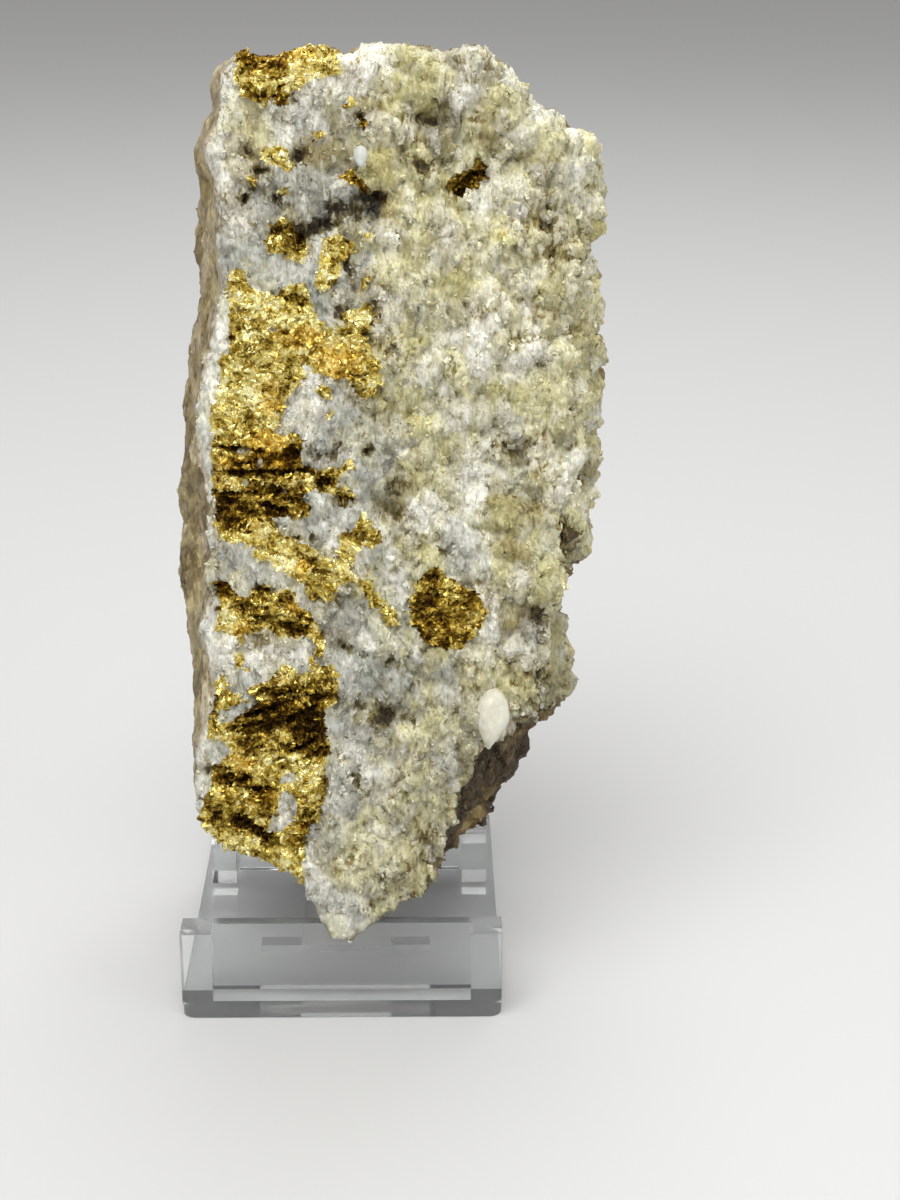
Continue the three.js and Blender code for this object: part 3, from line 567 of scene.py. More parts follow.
def white_ridge(points):
    """1 along the edge between the front face and the left flank."""
    x, z = face_places(points)
    edge_x, edge_z = np.array(WHITE_EDGE).T
    off_edge = np.abs(x - np.interp(z, edge_z, edge_x) + 0.5 * layered(points, 4.0, 97))
    worn = 1 - 0.75 * np.exp(-((z - 72.0) / 6.0) ** 2)
    ridge = worn * np.exp(-(off_edge / 0.9) ** 2)
    return ridge * smooth(28, 32, z) * smooth(5.0, 3.0, face_depth(points))


def set_back_share(points):
    """1 on the broken-off lower right, under the ledge."""
    x, z = ragged_places(points, (0.6, 3.0, 191), (0.6, 3.0, 195))
    return smooth(-0.5, 0.5, inside_outline(x, z, SET_BACK)) * smooth(0.5, 3.0, face_depth(points))


def tone_shares(points, normals):
    """How much of each quartz tone each place of the rock's surface has."""
    front = front_share(points, normals)
    # Faces that look down, and the set-back under the ledge, take umber as painted shade.
    beneath = np.maximum(smooth(0.15, 0.6, -normals[:, 2]), set_back_share(points))
    x, z = ragged_places(points, (0.9, 3.0, 71), (0.9, 3.0, 81))
    left = 1 - smooth(*LEFT_BORDER, x)
    foot = 1 - smooth(*FOOT_TOP, z)
    patch = np.clip(layered(points, 8.0, 91) * 1.4, -1, 1)
    streak = np.clip(layered(points * np.array([1, 1, 0.3]), 2.6, 95) * 1.8, -1, 1)
    flank = left_flank(points, normals)
    worn = flank * np.exp(-((z - 73.0) / 7.0) ** 2)
    shares = {
        "white": front * (0.95 + 0.65 * left + 0.7 * patch) + 0.05 + 0.4 * flank * (1 - streak),
        "blue_grey": front * (0.08 + 0.55 * left + 0.7 * foot) + 0.06,
        "cream": front * (1.6 - 0.9 * left) + 0.3 * (1 - front) + 0.9 * flank,
        "yellow_green": front * (0.85 - 0.7 * left - 0.25 * foot) * (1 - streak) + 0.1 * (1 - front),
        "ochre": front * (0.16 - 0.05 * left) * (1 + streak) + 1.1 * (1 - front) - 0.2 * flank,
        # Umber off the front is weathering with painted shade.
        "umber": 0.03 * front + 0.7 * (1 - front) * (1 + streak) + 2.6 * beneath + 0.7 * worn,
        "smoky": 0.0 * front,
    }
    for tone, places in TONE_PLACES.items():
        for cx, cz, half_x, half_z, strength in places:
            away = ((x - cx) / half_x) ** 2 + ((z - cz) / half_z) ** 2
            shares[tone] = shares[tone] + 2.6 * strength * front * np.exp(-away * away * 0.7)
    ridge = white_ridge(points)
    shares["white"] = shares["white"] + 8.0 * ridge
    shares["blue_grey"] = shares["blue_grey"] + 2.5 * ridge
    table = np.clip(np.stack([shares[name] for name in QUARTZ_TONES], 1), 0.01, None)
    return table / table.sum(1, keepdims=True)


# How much red, green and blue each of these takes away from the quartz, or adds to it.
# Painted shadow under the ledge, and the paler patches that break it.
UNDER_LEDGE_SHADOW_LOSS = np.array([0.64, 0.70, 0.78])
PATCH_GAIN = np.array([2.2, 2.6, 2.6])
# Sides and back darker than the front: weathering and painted shade.
WEATHERING_AND_SHADE_LOSS = np.array([0.15, 0.25, 0.35])
# Creases darker: painted shade, with dirt where the rock is stained.
CREASE_SHADE_LOSS = np.array([0.40, 0.47, 0.60])


def picked_tone(shares, randoms):
    """One tone's colour for each place, drawn by its shares."""
    palette = np.array(list(QUARTZ_TONES.values()))
    number = (randoms[:, None] > np.cumsum(shares, 1)).sum(1)
    return palette[np.minimum(number, len(palette) - 1)]


def mesh_arrays(mesh):
    """A mesh's points and point normals, in millimetres."""
    points = np.empty(len(mesh.vertices) * 3)
    normals = np.empty(len(mesh.vertices) * 3)
    mesh.vertices.foreach_get("co", points)
    mesh.vertices.foreach_get("normal", normals)
    return points.reshape(-1, 3) / MM, normals.reshape(-1, 3)


def set_colour(mesh, name, colours):
    """Stores a colour for each point of a mesh."""
    layer = mesh.color_attributes.new(name, "FLOAT_COLOR", "POINT")
    layer.data.foreach_set("color", np.column_stack([colours, np.ones(len(colours))]).ravel())


def set_number(mesh, name, numbers):
    """Stores a number for each point of a mesh."""
    mesh.attributes.new(name, "FLOAT", "POINT").data.foreach_set("value", numbers)


def stand_gap(points):
    """How far each point is from the nearest part of the stand, in millimetres."""
    trees = []
    for node in ("stand_base", "stand_back_rest"):
        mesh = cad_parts[node].data
        corners = [vertex.co for vertex in mesh.vertices]
        trees.append(BVHTree.FromPolygons(corners, [face.vertices for face in mesh.polygons]))
    gap = np.full(len(points), GAP_REACH)
    stand_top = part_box("stand_back_rest")[1][2] / MM
    for index in np.nonzero(points[:, 2] < stand_top + GAP_REACH)[0]:
        for tree in trees:
            near = tree.find_nearest(points[index] * MM, GAP_REACH * MM)
            if near[0] is not None:
                gap[index] = min(gap[index], near[3] / MM)
    return gap


def merged_copy(node, whole_faces=False):
    """A copy of a CAD node's mesh with its loose triangles joined, if asked into whole flat faces."""
    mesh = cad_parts[node].data.copy()
    bm = bmesh.new()
    bm.from_mesh(mesh)
    bmesh.ops.remove_doubles(bm, verts=bm.verts, dist=MERGE_DISTANCE)
    if whole_faces:
        bmesh.ops.dissolve_limit(bm, angle_limit=FLAT_ANGLE, verts=bm.verts, edges=bm.edges)
    bm.to_mesh(mesh)
    bm.free()
    return mesh


def put_in_scene(name, data):
    """A new object in the scene that holds a mesh, a light or a camera."""
    made = bpy.data.objects.new(name, data)
    bpy.context.scene.collection.objects.link(made)
    return made


def rock_body():
    """The CAD stone as one closed mesh of even faces, finer at the sides and finest in front.

    The faces are too coarse for the narrow slot in the foot that takes the stand's lip: it closes up.
    """
    rough = put_in_scene("rock_rough", merged_copy("stone"))
    remesh = rough.modifiers.new("even_faces", "REMESH")
    remesh.mode = "VOXEL"
    remesh.voxel_size = BODY_STEP * MM
    remesh.adaptivity = 0
    bpy.context.view_layer.update()
    evaluated = rough.evaluated_get(bpy.context.evaluated_depsgraph_get())
    even = bpy.data.meshes.new_from_object(evaluated)
    bpy.data.objects.remove(rough)

    bm = bmesh.new()
    bm.from_mesh(even)
    for sides_too in (True, False):
        chosen = []
        for face in bm.faces:
            x, y, z = face.normal
            if y < -0.3 or sides_too and (x < -0.5 and y < 0.3 or z > 0.4 or x > 0.4 and y < 0.4):
                chosen.append(face)
        edges = {edge for face in chosen for edge in face.edges}
        bmesh.ops.subdivide_edges(bm, edges=list(edges), cuts=1, use_grid_fill=True)
    bmesh.ops.triangulate(bm, faces=bm.faces[:])
    bm.to_mesh(even)
    bm.free()
    return even


def dome(offset, reach):
    """1 in the middle of a cell, falling to 0 at the given distance."""
    return np.clip(1 - np.sum(offset ** 2, 1) / reach ** 2, 0, 1)


def tilt(offset, own):
    """The height of a flat facet that leans its own way in each cell."""
    return np.sum(offset * (own - 0.5) * 2, 1)


body_mesh = rock_body()
points, normals = mesh_arrays(body_mesh)
gap = stand_gap(points)
ore = ore_field(points)
hollow = hollow_field(points)
leaf = leaf_field(points)
shares = tone_shares(points, normals)
glassy = shares[:, list(QUARTZ_TONES).index("blue_grey")] ** 2
in_ore = smooth(-0.15, 0.15, ore)
front = front_share(points, normals)
set_back = set_back_share(points)
calm = 1 - 0.6 * np.maximum(left_flank(points, normals), white_ridge(points))
rough_side = (1 - 0.5 * front * (1 - smooth(*LEFT_BORDER, points[:, 0]))) * calm

# Lumps, clumps and grains rise to domes and lean their own way, and level out at their edges.
lump_edge, lump_offset, lump_own = grains(warped(points, 3.0, 1.2, 101), LUMP_SIZE, 105)
clump_cells = warped(points, 1.6, 0.6, 111) * STRETCH
clump_edge, clump_offset, clump_own = grains(clump_cells, CLUMP_SIZE, 121)
grain_cells = warped(points, 0.8, 0.3, 131) * STRETCH
grain_edge, grain_offset, grain_own = grains(grain_cells, GRAIN_SIZE, 135)
hollow += 0.6 * (1 - in_ore) * (hollow_field(points - grain_offset / STRETCH) - hollow)
lump_rise = 1.7 * dome(lump_offset, 3.4) - 1.0
lump_rise = lump_rise + 0.7 * (lump_own[:, 0] - 0.5) * smooth(0, 1.2, lump_edge)
clump_lean = tilt(clump_offset, clump_own) * smooth(0, 0.35, clump_edge)
clump_rise = 0.6 * dome(clump_offset, 1.7) - 0.3 + 0.7 * clump_lean
grain_lean = tilt(grain_offset, grain_own) * smooth(0, 0.15, grain_edge)
grain_rise = 0.2 * dome(grain_offset, 0.8) - 0.1 + 0.6 * grain_lean
pit = smooth(0.25, 0.75, layered(points, 2.6, 201)) * smooth(-0.1, 0.5, layered(points, 9.0, 205))
pit = pit * calm * (1 - 0.85 * glassy) * (0.4 + 0.6 * smooth(-6.0, 4.0, points[:, 0]))
fine = 1 - 0.4 * (1 - front) - 0.3 * smooth(0.2, 0.5, normals[:, 1])
quartz_rise = rough_side * lump_rise
quartz_rise = quartz_rise + (0.5 + 0.5 * rough_side) * calm * fine * clump_rise - 0.8 * pit
fine_rise = (1 - 0.7 * glassy) * calm * fine * grain_rise
quartz_rise += fine_rise + 0.7 * layered(points, 6.0, 141) - 1.2 * set_back

# The ore breaks in small sharp steps with dark joints between them, and stands a little proud.
hackle_cells = warped(points, 1.0, 0.4, 151) * HACKLE_STRETCH
hackle_edge, hackle_offset, hackle_own = grains(hackle_cells, HACKLE_SIZE, 155)
ore_rise = 0.9 * tilt(hackle_offset, hackle_own) - 0.3 * np.exp(-hackle_edge / 0.15)
ore_rise += 0.35 + 0.35 * layered(points, 3.0, 161) + 0.45 * leaf

rise = quartz_rise * (1 - in_ore) + ore_rise * in_ore - 1.6 * hollow + knob_field(points)
clear = smooth(*STAND_AIR, gap)
rise = rise * clear
unbroken = points
points = points + normals * rise[:, None]
points = points + 0.1 * clear[:, None] * noise_vector(points, 0.6, 171)
body_mesh.vertices.foreach_set("co", (points * MM).ravel())
body_mesh.update()

# Colours: one tone to a lump, a clump and a grain; painted shade with dirt in creases, painted shadow
# under the ledge, and weathering with painted shade behind.
stain = smooth(-0.1, 0.7, layered(points, 6.0, 181) + 0.25 * (1 - front)) * (1 - 0.7 * glassy)
# Creases between lumps and clumps: painted shade, deepest where the rock is also stained.
crease = 0.8 * np.exp(-lump_edge / 0.45) + 0.35 * np.exp(-clump_edge / 0.3)
crease = np.clip(crease, 0, 1) * (0.08 + 0.92 * stain)
mean_tone = shares @ np.array(list(QUARTZ_TONES.values()))
lump_shares = tone_shares(unbroken - lump_offset, normals)
clump_shares = tone_shares(unbroken - clump_offset / STRETCH, normals)
lump_tone = picked_tone(lump_shares, lump_own[:, 1])
clump_tone = picked_tone(clump_shares, clump_own[:, 1])
grain_tone = picked_tone(shares, grain_own[:, 1])
tint = 0.2 * mean_tone + 0.32 * lump_tone + 0.32 * clump_tone + 0.16 * grain_tone
tint = tint * (0.80 + 0.32 * lump_own[:, 2:3]) * (0.85 + 0.28 * clump_own[:, 2:3])
# Painted shadow on the set-back under the ledge, lifted in paler patches.
paler_patch = set_back * smooth(-0.1, 0.45, noise(points, 5.0, 361))
tint = tint * (1 - set_back[:, None] * UNDER_LEDGE_SHADOW_LOSS) * (1 + paler_patch[:, None] * PATCH_GAIN)
tint = tint * (1 + 0.1 * smooth(50, 90, points[:, 2:3]) * front[:, None])
# Weathering with painted shade on the sides and back.
tint = tint * (1 - (1 - front)[:, None] * WEATHERING_AND_SHADE_LOSS)
# Painted shade with dirt in the creases.
tint = tint * (1 - crease[:, None] * CREASE_SHADE_LOSS)
# How much the quartz darkens in hollows, pits and creases: stain and dirt with painted shade.
dirt_and_shade = np.clip(1.1 * hollow + 0.8 * pit + 0.34 * crease + 0.12 * stain, 0, 1)
paler, amber = shade_fields(points)
dark = 0.55 * hollow + 0.4 * np.clip(-leaf, 0, 1) - paler + 0.22 * (hackle_own[:, 2] - 0.5)
dark = np.clip(dark, -0.5, 1)
set_colour(body_mesh, "tint", tint)
set_number(body_mesh, "ore", ore)
set_number(body_mesh, "dark", dark)
set_number(body_mesh, "amber", amber)
set_number(body_mesh, "glassy", glassy)
set_number(body_mesh, "dirt_and_shade", dirt_and_shade)


class Wire:
    """A shader socket: arithmetic on wires adds Math nodes, and node() adds any other node."""

    def __init__(self, socket):
        self.socket = socket

    def node(self, kind, settings=None, sockets=None, output=0):
        """A new node in this wire's tree: its settings first, then its sockets' values or links."""
        tree = self.socket.id_data
        made = tree.nodes.new(kind)
        for name, value in (settings or {}).items():
            if name == "stops":
                ramp = made.color_ramp.elements
                for index, (place, colour) in enumerate(value):
                    stop = ramp[index] if index < 2 else ramp.new(place)
                    stop.position = place
                    stop.color = (*colour, 1)
            else:
                setattr(made, name, value)
        for name, value in (sockets or {}).items():
            if isinstance(value, Wire):
                tree.links.new(value.socket, made.inputs[name])
            else:
                made.inputs[name].default_value = value
        return Wire(made.outputs[output])

    def maths(self, operation, first, second=0.0):
        return self.node("ShaderNodeMath", {"operation": operation}, {0: first, 1: second})

    def __add__(self, other):
        return self.maths("ADD", self, other)

    def __sub__(self, other):
        return self.maths("SUBTRACT", self, other)

    def __rsub__(self, other):
        return self.maths("SUBTRACT", other, self)

    def __mul__(self, other):
        return self.maths("MULTIPLY", self, other)

    __radd__ = __add__
    __rmul__ = __mul__

    def step(self, low, high):
        """0 below low, 1 above high, and a smooth rise between."""
        sockets = {"Value": self, "From Min": low, "From Max": high}
        return self.node("ShaderNodeMapRange", {"interpolation_type": "SMOOTHSTEP"}, sockets)

    def blend(self, first, second):
        """Mixes two colours by this wire, from 0 to 1."""
        return self.node("ShaderNodeMix", {"data_type": "RGBA"}, {0: self, 6: first, 7: second}, 2)

    def tinted(self, colour):
        """This colour multiplied by another."""
        settings = {"data_type": "RGBA", "blend_type": "MULTIPLY"}
        return self.node("ShaderNodeMix", settings, {0: 1.0, 6: self, 7: colour}, 2)

    def ramp(self, *stops):
        """A colour for each value, through the stops."""
        return self.node("ShaderNodeValToRGB", {"stops": stops}, {"Fac": self})

    def speckle(self, size, detail=2.0):
        """Noise from 0 to 1 with lumps of the given size in metres."""
        sockets = {"Vector": self, "Scale": 1 / size, "Detail": detail}
        return self.node("ShaderNodeTexNoise", {}, sockets)

    def facets(self, size):
        """Height in metres of small flat facets, each tilted its own way, of about the given size."""
        cell = {"Vector": self, "Scale": 1 / size}
        centre = self.node("ShaderNodeTexVoronoi", {}, cell, "Position")
        own = Wire(centre.socket.node.outputs["Color"])
        minus = {"operation": "SUBTRACT"}
        away = self.node("ShaderNodeVectorMath", minus, {0: self, 1: centre})
        lean = self.node("ShaderNodeVectorMath", minus, {0: own, 1: (0.5, 0.5, 0.5)})
        both = {0: away, 1: lean}
        return self.node("ShaderNodeVectorMath", {"operation": "DOT_PRODUCT"}, both, "Value")

    def bump(self, height, shader):
        """Bends a shader's normal by a height in metres."""
        sockets = {"Strength": 1.0, "Distance": 1.0, "Height": height}
        self.node("ShaderNodeBump", {}, sockets).plug(shader.inputs["Normal"])

    def plug(self, socket):
        self.socket.id_data.links.new(self.socket, socket)


def new_material(name):
    """An empty physically based material: itself, a wire of its object coordinates, its shader."""
    material = bpy.data.materials.new(name)
    material.use_nodes = True
    tree = material.node_tree
    place = Wire(tree.nodes.new("ShaderNodeTexCoord").outputs["Object"])
    return material, place, tree.nodes["Principled BSDF"]


def stored(place, name, output):
    """A value stored on the mesh's points."""
    return place.node("ShaderNodeAttribute", {"attribute_name": name}, {}, output)


CRUMB_SIZE = 0.0007  # metres


def crumbs(place):
    """Small angular cells, each with three random numbers."""
    sockets = {"Vector": place, "Scale": 1 / CRUMB_SIZE}
    cells = place.node("ShaderNodeTexVoronoi", {}, sockets, "Color")
    split = cells.node("ShaderNodeSeparateColor", {}, {"Color": cells}).socket.node
    return [Wire(output) for output in split.outputs[:3]]


TARNISH_TO_BRIGHT = (
    (0.0, (0.048, 0.025, 0.006)), (0.25, (0.215, 0.122, 0.015)), (0.5, (0.55, 0.41, 0.072)),
    (0.75, (0.84, 0.72, 0.25)), (1.0, (1.0, 0.95, 0.58)),
)
AMBER = (1.0, 0.80, 0.32, 1)
CLOUDINESS = ((0.0, (0.70, 0.67, 0.58)), (0.45, (0.97, 0.96, 0.93)), (1.0, (1.15, 1.15, 1.15)))
# Quartz darkened in hollows, pits and creases, mild then deep: iron stain and dirt with painted
# shade.
IRON_STAIN_AND_SHADE = (0.46, 0.39, 0.20, 1)
DEEP_DIRT_AND_SHADE = (0.26, 0.22, 0.19, 1)


def ore_colour(place, fleck):
    """Brass-yellow chalcopyrite, amber or pale in places, tarnished dark brown where it is hollow."""
    drift = place.speckle(0.0026, 4.0)
    value = (drift - 0.5) * 1.6 + fleck * 0.4 + 0.47 - stored(place, "dark", "Fac") * 0.85
    brass = value.ramp(*TARNISH_TO_BRIGHT)
    return (stored(place, "amber", "Fac") * 0.8).blend(brass, brass.tinted(AMBER))


def quartz_mottle(place, fleck):
    """A fine cloudiness that multiplies the quartz colour."""
    cloud = place.speckle(0.0009, 3.0)
    value = (cloud - 0.5) * 1.2 + fleck * 0.6 + 0.22
    return value.ramp(*CLOUDINESS)


def rock_material():
    material, place, shader = new_material("quartz_with_chalcopyrite")
    grained = place.node("ShaderNodeMapping", {}, {"Vector": place, "Scale": (1.5, 1.0, 0.6)})
    ragged = place.speckle(0.0006, 3.0)
    is_ore = (stored(place, "ore", "Fac") + (ragged - 0.5) * 0.8).step(-0.03, 0.03)
    first, second, third = crumbs(grained)
    quartz = stored(place, "tint", "Color").tinted(quartz_mottle(grained, first))
    # Painted shade with stain and dirt in the hollows, pits and creases: olive-brown first, near
    # black in the deepest.
    soiled_and_shaded = stored(place, "dirt_and_shade", "Fac") * 1.25 - second * 0.7 - grained.speckle(0.0012, 3.0) * 0.35
    quartz = soiled_and_shaded.step(-0.25, 0.15).blend(quartz, quartz.tinted(IRON_STAIN_AND_SHADE))
    quartz = soiled_and_shaded.step(0.2, 0.5).blend(quartz, quartz.tinted(DEEP_DIRT_AND_SHADE))
    is_ore.blend(quartz, ore_colour(place, third)).plug(shader.inputs["Base Color"])
    is_ore.plug(shader.inputs["Metallic"])
    shine = place.speckle(0.0011, 3.0).step(0.5, 0.75) * 0.2 + stored(place, "glassy", "Fac") * 0.2
    (0.62 - is_ore * 0.18 - shine * (1 - is_ore)).plug(shader.inputs["Roughness"])
    place.bump(grained.facets(0.0005), shader)
    return material


rock = put_in_scene("rock_body", body_mesh)
body_mesh.materials.clear()
body_mesh.materials.append(rock_material())
body_mesh.shade_smooth()
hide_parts("stone")
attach(rock, "root")


# ---- Quartz grains ----------------------------------------------------------------------------
# The sugary crust of the broken quartz: thousands of small angular crystals, sunk more or less deep
# in the rock body. They are one mineral with it, and have its colours, one tone to a crystal.

def scattered(mesh, weights, count, seed):
    """Random places on a mesh's triangles, by area and weight: points, normals, nearest points."""
    mesh.calc_loop_triangles()
    corners = np.empty(len(mesh.loop_triangles) * 3, dtype=np.int32)
    mesh.loop_triangles.foreach_get("vertices", corners)
    corners = corners.reshape(-1, 3)
    place, _ = mesh_arrays(mesh)
    a, b, c = (place[corners[:, i]] for i in range(3))
    cross = np.cross(b - a, c - a)
    area = np.linalg.norm(cross, axis=1)
    chance = area * weights[corners].mean(1)
    rng = np.random.default_rng(seed)
    pick = rng.choice(len(corners), size=count, p=chance / chance.sum())
    u, v = rng.random((2, count, 1))
    over = (u + v) > 1
    u, v = np.where(over, 1 - u, u), np.where(over, 1 - v, v)
    spots = a[pick] + u * (b - a)[pick] + v * (c - a)[pick]
    return spots, cross[pick] / np.maximum(area[pick, None], 1e-9), corners[pick, 0]


def unit_rows(vectors):
    """Each row as a vector of length 1."""
    return vectors / np.maximum(np.linalg.norm(vectors, axis=1, keepdims=True), 1e-9)


CHIP_CORNERS = 8


def chips(name, spots, axes, along, radii, flatness, seed):
    """One mesh of many small angular chips, each a block with uneven corners, long one way."""
    seedling = bmesh.new()
    bmesh.ops.create_cube(seedling, size=1.5)
    bmesh.ops.triangulate(seedling, faces=seedling.faces[:])
    corner = np.array([v.co[:] for v in seedling.verts])
    faces = np.array([[v.index for v in f.verts] for f in seedling.faces])
    seedling.free()
    rng = np.random.default_rng(seed)
    count = len(spots)
    third = unit_rows(axes)
    first = unit_rows(np.cross(third, np.cross(along, third) + 0.3 * rng.normal(size=(count, 3))))
    second = np.cross(third, first)
    shape = corner[None] * rng.uniform(0.55, 1.15, (count, CHIP_CORNERS, 1))
    shape = shape + 0.12 * rng.normal(size=shape.shape)
    sides = np.stack([np.full(count, 1.3), rng.uniform(0.4, 0.9, count), flatness], 1)
    shape = shape * (radii[:, None] * sides)[:, None]
    turned = shape[:, :, :1] * first[:, None] + shape[:, :, 1:2] * second[:, None]
    turned = turned + shape[:, :, 2:] * third[:, None]
    place = (spots[:, None] + turned).reshape(-1, 3)
    index = (faces[None] + (np.arange(count) * CHIP_CORNERS)[:, None, None]).reshape(-1, 3)
    mesh = bpy.data.meshes.new(name)
    mesh.from_pydata((place * MM).tolist(), [], index.tolist())
    mesh.update()
    return put_in_scene(name, mesh)


def grain_material():
    material, place, shader = new_material("quartz_grains")
    mottle = quartz_mottle(place, crumbs(place)[0])
    stored(place, "tint", "Color").tinted(mottle).plug(shader.inputs["Base Color"])
    (0.52 - place.speckle(0.0009).step(0.5, 0.8) * 0.25).plug(shader.inputs["Roughness"])
    place.bump(place.facets(0.00045) * 0.5, shader)
    return material


GRAIN_BORDER = (3.0, 7.0)  # x over which the left half's grains give way to the right half's
CLEAR_OF_STAND = (1.1, 1.6)  # how far from the stand grains and flakes begin, and are dense
# Grains darkened like the quartz under them: stain and dirt with painted shade.
GRAIN_STAIN_AND_SHADE = np.array([0.46, 0.38, 0.23])
GRAIN_DIRT_AND_SHADE = np.array([0.3, 0.25, 0.2])

free = (1 - smooth(-0.35, 0.0, ore)) * (1 - 0.6 * hollow) * smooth(*CLEAR_OF_STAND, gap)
free = free * (1 - 0.6 * crease) * (1 - 0.8 * glassy) * (calm - 0.2)
right_half = smooth(*GRAIN_BORDER, points[:, 0])
grain_look = grain_material()
for name, weights, count, smallest, largest, seed in (
    ("quartz_grains_left", free * front * (1 - right_half), 8000, 0.16, 0.6, 11),
    ("quartz_grains_right", free * front * right_half, 16000, 0.16, 0.7, 12),
    ("quartz_grains_sides", free * (1 - front), 12000, 0.22, 0.6, 13),
):
    spots, outward, near = scattered(body_mesh, weights, count, seed)
    rng = np.random.default_rng(seed)
    radii = smallest + (largest - smallest) * rng.random(count) ** 2.4
    lean = unit_rows(outward + 0.7 * rng.normal(size=outward.shape))
    sunk = spots - outward * (radii * rng.uniform(0.5, 0.95, count))[:, None]
    upright = np.array([0, 0, 1.0]) + 0.35 * rng.normal(size=outward.shape)
    piece = chips(name, sunk, lean, upright, radii, rng.uniform(0.4, 0.9, count), seed)
    tone = 0.75 * tint[near] + 0.25 * picked_tone(shares[near], rng.random(count))
    tone = tone * rng.uniform(0.9, 1.2, (count, 1))
    soiled_and_shaded = rng.random(count) < dirt_and_shade[near]
    tone[soiled_and_shaded] = tone[soiled_and_shaded] * GRAIN_STAIN_AND_SHADE
    soiled_and_shaded = rng.random(count) < 1.6 * dirt_and_shade[near] - 0.9
    tone[soiled_and_shaded] = tone[soiled_and_shaded] * GRAIN_DIRT_AND_SHADE
    set_colour(piece.data, "tint", np.repeat(tone, CHIP_CORNERS, axis=0))
    piece.data.materials.append(grain_look)
    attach(piece, "root")


# ---- Standing crystals ------------------------------------------------------------------------
# The two single quartz crystals that stand proud: a pale oval one over the ledge at the lower
# right, and a small one near the top. Each is half sunk in the rock body it grew with.

STANDING_CRYSTALS = [  # x, z, half width, half height, how pointed its foot is, turn, tone
    (23.2, 47.8, 2.7, 4.4, 0.5, 8, (0.70, 0.685, 0.58)),
    (4.0, 130.6, 1.0, 1.5, 0.3, 0, (0.62, 0.64, 0.62)),
]


def crystal_material():
    material, place, shader = new_material("standing_crystal")
    cloud = place.speckle(0.0016, 2.0).ramp((0.3, (0.84, 0.82, 0.76)), (0.7, (1.1, 1.1, 1.1)))
    stored(place, "tint", "Color").tinted(cloud).plug(shader.inputs["Base Color"])
    shader.inputs["Roughness"].default_value = 0.32
    return material


crystal_mesh = bpy.data.meshes.new("standing_crystals")
bm = bmesh.new()
crystal_tones = []
for x, z, half_x, half_z, pointed, slope, tone in STANDING_CRYSTALS:
    first = len(bm.verts)
    bmesh.ops.create_icosphere(bm, subdivisions=4, radius=1)
    bm.verts.ensure_lookup_table()
    ball = np.array([v.co[:] for v in bm.verts[first:]])
    edge, offset, own = grains(ball * 3 + np.array([x, 0, z]), 1.9, 221)
    facets = 0.05 * (tilt(offset, own) * smooth(0, 0.4, edge))
    shape = ball * (1 + facets + 0.02 * layered(ball * 3 + x, 2.0, 225))[:, None]
    shape[:, 0] = shape[:, 0] * (1 - pointed * smooth(0.2, -1.0, shape[:, 2]))
    turn = math.radians(slope)
    across, up = shape[:, 0] * half_x, shape[:, 2] * half_z
    foot_y = FACE_FOOT_Y + (z - FACE_FOOT_Z) * FACE_LEAN + 0.25 * half_x
    placed = np.stack([
        x + across * math.cos(turn) + up * math.sin(turn),
        foot_y + shape[:, 1] * half_x * 0.85 + up * (FACE_LEAN + 0.1),
        z + up * math.cos(turn) - across * math.sin(turn),
    ], 1)
    for vertex, co in zip(bm.verts[first:], placed * MM):
        vertex.co = co
    # Painted shade: the crystal darker in patches and towards its foot.
    painted_shade = 1 - 0.35 * smooth(0.3, 1.0, layered(placed, 1.6, 231) + 0.5 * (1 - shape[:, 2]) * 0.3)
    crystal_tones.append(np.array(tone) * painted_shade[:, None])
bm.to_mesh(crystal_mesh)
bm.free()
set_colour(crystal_mesh, "tint", np.concatenate(crystal_tones))
crystal_mesh.materials.append(crystal_material())
crystal_mesh.shade_smooth()
crystals = put_in_scene("standing_crystals", crystal_mesh)
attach(crystals, "root")


# ---- Chalcopyrite flakes ----------------------------------------------------------------------
# The hackly, bright surface of the ore: thin brassy flakes standing at all angles, and along the
# leaves where the ore splits. They are one with the masses in the rock body.

FLAKE_COUNT = 13000
FLAKE_SEED = 21
on_ore = smooth(0.0, 0.3, ore) * (1 - 0.5 * smooth(0.4, 0.9, hollow)) * smooth(*CLEAR_OF_STAND, gap)
spots, outward, near = scattered(body_mesh, on_ore, FLAKE_COUNT, FLAKE_SEED)
rng = np.random.default_rng(FLAKE_SEED)
radii = 0.16 + 0.6 * rng.random(FLAKE_COUNT) ** 2.2
shared_lean = noise_vector(spots, 2.2, 211)
lean = unit_rows(outward + 0.9 * shared_lean + 0.3 * rng.normal(size=outward.shape))
sunk = spots - outward * (radii * rng.uniform(-0.05, 0.35, FLAKE_COUNT))[:, None]
along = np.array([1.0, 0, 0.2]) + 0.6 * rng.normal(size=outward.shape)
thinness = rng.uniform(0.2, 0.6, FLAKE_COUNT)
flakes = chips("chalcopyrite_flakes", sunk, lean, along, radii, thinness, FLAKE_SEED + 1)
flake_dark = np.clip(dark[near] + 0.6 * rng.random(FLAKE_COUNT) ** 2 - 0.18, -0.5, 1)
set_number(flakes.data, "dark", np.repeat(flake_dark, CHIP_CORNERS))
set_number(flakes.data, "amber", np.repeat(amber[near], CHIP_CORNERS))


def flake_material():
    material, place, shader = new_material("chalcopyrite")
    ore_colour(place, crumbs(place)[2]).plug(shader.inputs["Base Color"])
    shader.inputs["Metallic"].default_value = 1.0
    (0.4 + place.speckle(0.0014).step(0.3, 0.7) * 0.16).plug(shader.inputs["Roughness"])
    place.bump(place.facets(0.0004) * 0.4, shader)
    return material


flakes.data.materials.append(flake_material())
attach(flakes, "root")


# ---- Acrylic stand ----------------------------------------------------------------------------
# Clear moulded easel: a floor plate with a low front lip between two posts, rear lugs, and a
# leaning back rest. The edges of the mouldings are slightly rounded.

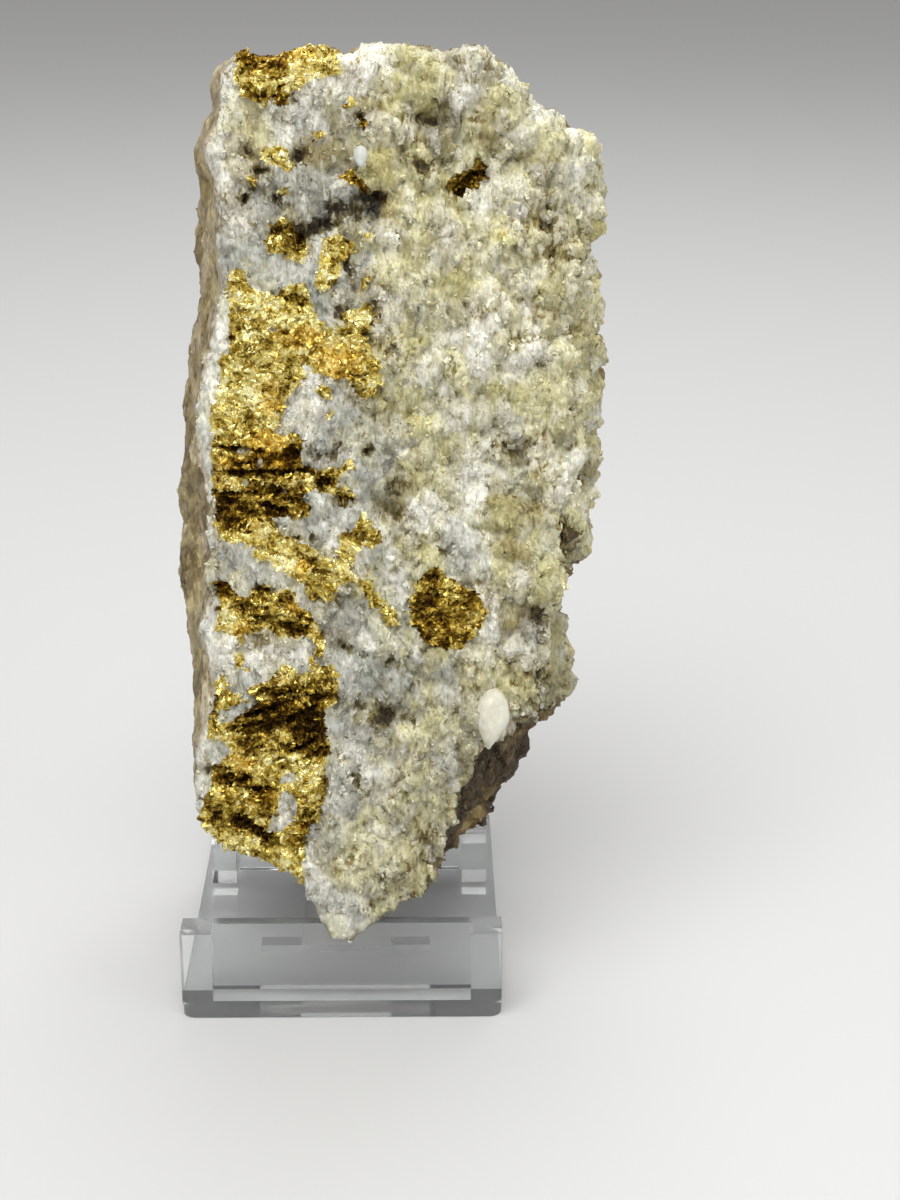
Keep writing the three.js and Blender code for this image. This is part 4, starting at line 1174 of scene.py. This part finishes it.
def acrylic_material():
    material, place, shader = new_material("clear_acrylic")
    shader.inputs["Base Color"].default_value = (0.97, 0.985, 0.985, 1)
    shader.inputs["Transmission Weight"].default_value = 0.93
    shader.inputs["IOR"].default_value = 1.49
    (0.02 + place.speckle(0.003, 5.0).step(0.55, 0.8) * 0.16).plug(shader.inputs["Roughness"])
    return material


acrylic = acrylic_material()
for node in ("stand_base", "stand_back_rest"):
    mesh = merged_copy(node, whole_faces=True)
    mesh.materials.clear()
    mesh.materials.append(acrylic)
    moulding = put_in_scene(f"clear_{node}", mesh)
    bevel = moulding.modifiers.new("soft_edges", "BEVEL")
    bevel.width = 0.35 * MM
    bevel.segments = 3
    bevel.limit_method = "ANGLE"
    bevel.angle_limit = math.radians(35)
    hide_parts(node)
    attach(moulding, "root")


# ---- Floor, light and camera --------------------------------------------------------------------
# A plain pale floor, soft studio lights, and a camera that looks down at the front.

bm = bmesh.new()
bmesh.ops.create_grid(bm, x_segments=1, y_segments=1, size=4)
bmesh.ops.translate(bm, verts=bm.verts, vec=(0, 0, -0.1 * MM))
floor_mesh = bpy.data.meshes.new("floor")
bm.to_mesh(floor_mesh)
bm.free()
floor = put_in_scene("floor", floor_mesh)
floor_look, _, floor_shader = new_material("pale_floor")
floor_shader.inputs["Base Color"].default_value = (0.6, 0.6, 0.595, 1)
floor_shader.inputs["Roughness"].default_value = 0.6
floor_mesh.materials.append(floor_look)

world = bpy.data.worlds.new("studio")
world.use_nodes = True
sky = world.node_tree.nodes["Background"].inputs
sky["Color"].default_value = (1.0, 0.995, 0.98, 1)
sky["Strength"].default_value = 0.42
bpy.context.scene.world = world

AIM = Vector((0.006, -0.02, 0.075))
for name, place, size, power in (
    ("key", (-0.14, -0.42, 0.88), 0.7, 8.0),
    ("fill", (0.7, -0.5, 0.35), 0.5, 1.6),
    ("rim", (0.1, 0.35, 0.8), 0.5, 3.0),
):
    light = bpy.data.lights.new(name, "AREA")
    light.size = size
    light.energy = power
    lamp = put_in_scene(name, light)
    lamp.location = place
    lamp.rotation_euler = (AIM - Vector(place)).to_track_quat("-Z", "Y").to_euler()

CAMERA_YAW = math.radians(0.89)
CAMERA_DIP = math.radians(21.5)
CAMERA_ROLL = math.radians(0.2)
level = math.cos(CAMERA_DIP)
ahead = Vector((math.sin(CAMERA_YAW) * level, math.cos(CAMERA_YAW) * level, -math.sin(CAMERA_DIP)))
right = Vector((math.cos(CAMERA_YAW), -math.sin(CAMERA_YAW), 0))
above = right.cross(ahead)
turned_right = right * math.cos(CAMERA_ROLL) + above * math.sin(CAMERA_ROLL)
turned_above = above * math.cos(CAMERA_ROLL) - right * math.sin(CAMERA_ROLL)
camera_data = bpy.data.cameras.new("camera")
camera_data.sensor_width = 36
camera_data.lens = 63
camera = put_in_scene("camera", camera_data)
turn = Matrix((turned_right, turned_above, -ahead)).transposed().to_4x4()
camera.matrix_world = Matrix.Translation((12.24 * MM, -323.43 * MM, 181.45 * MM)) @ turn
bpy.context.scene.camera = camera
bpy.context.scene.view_settings.view_transform = "Standard"
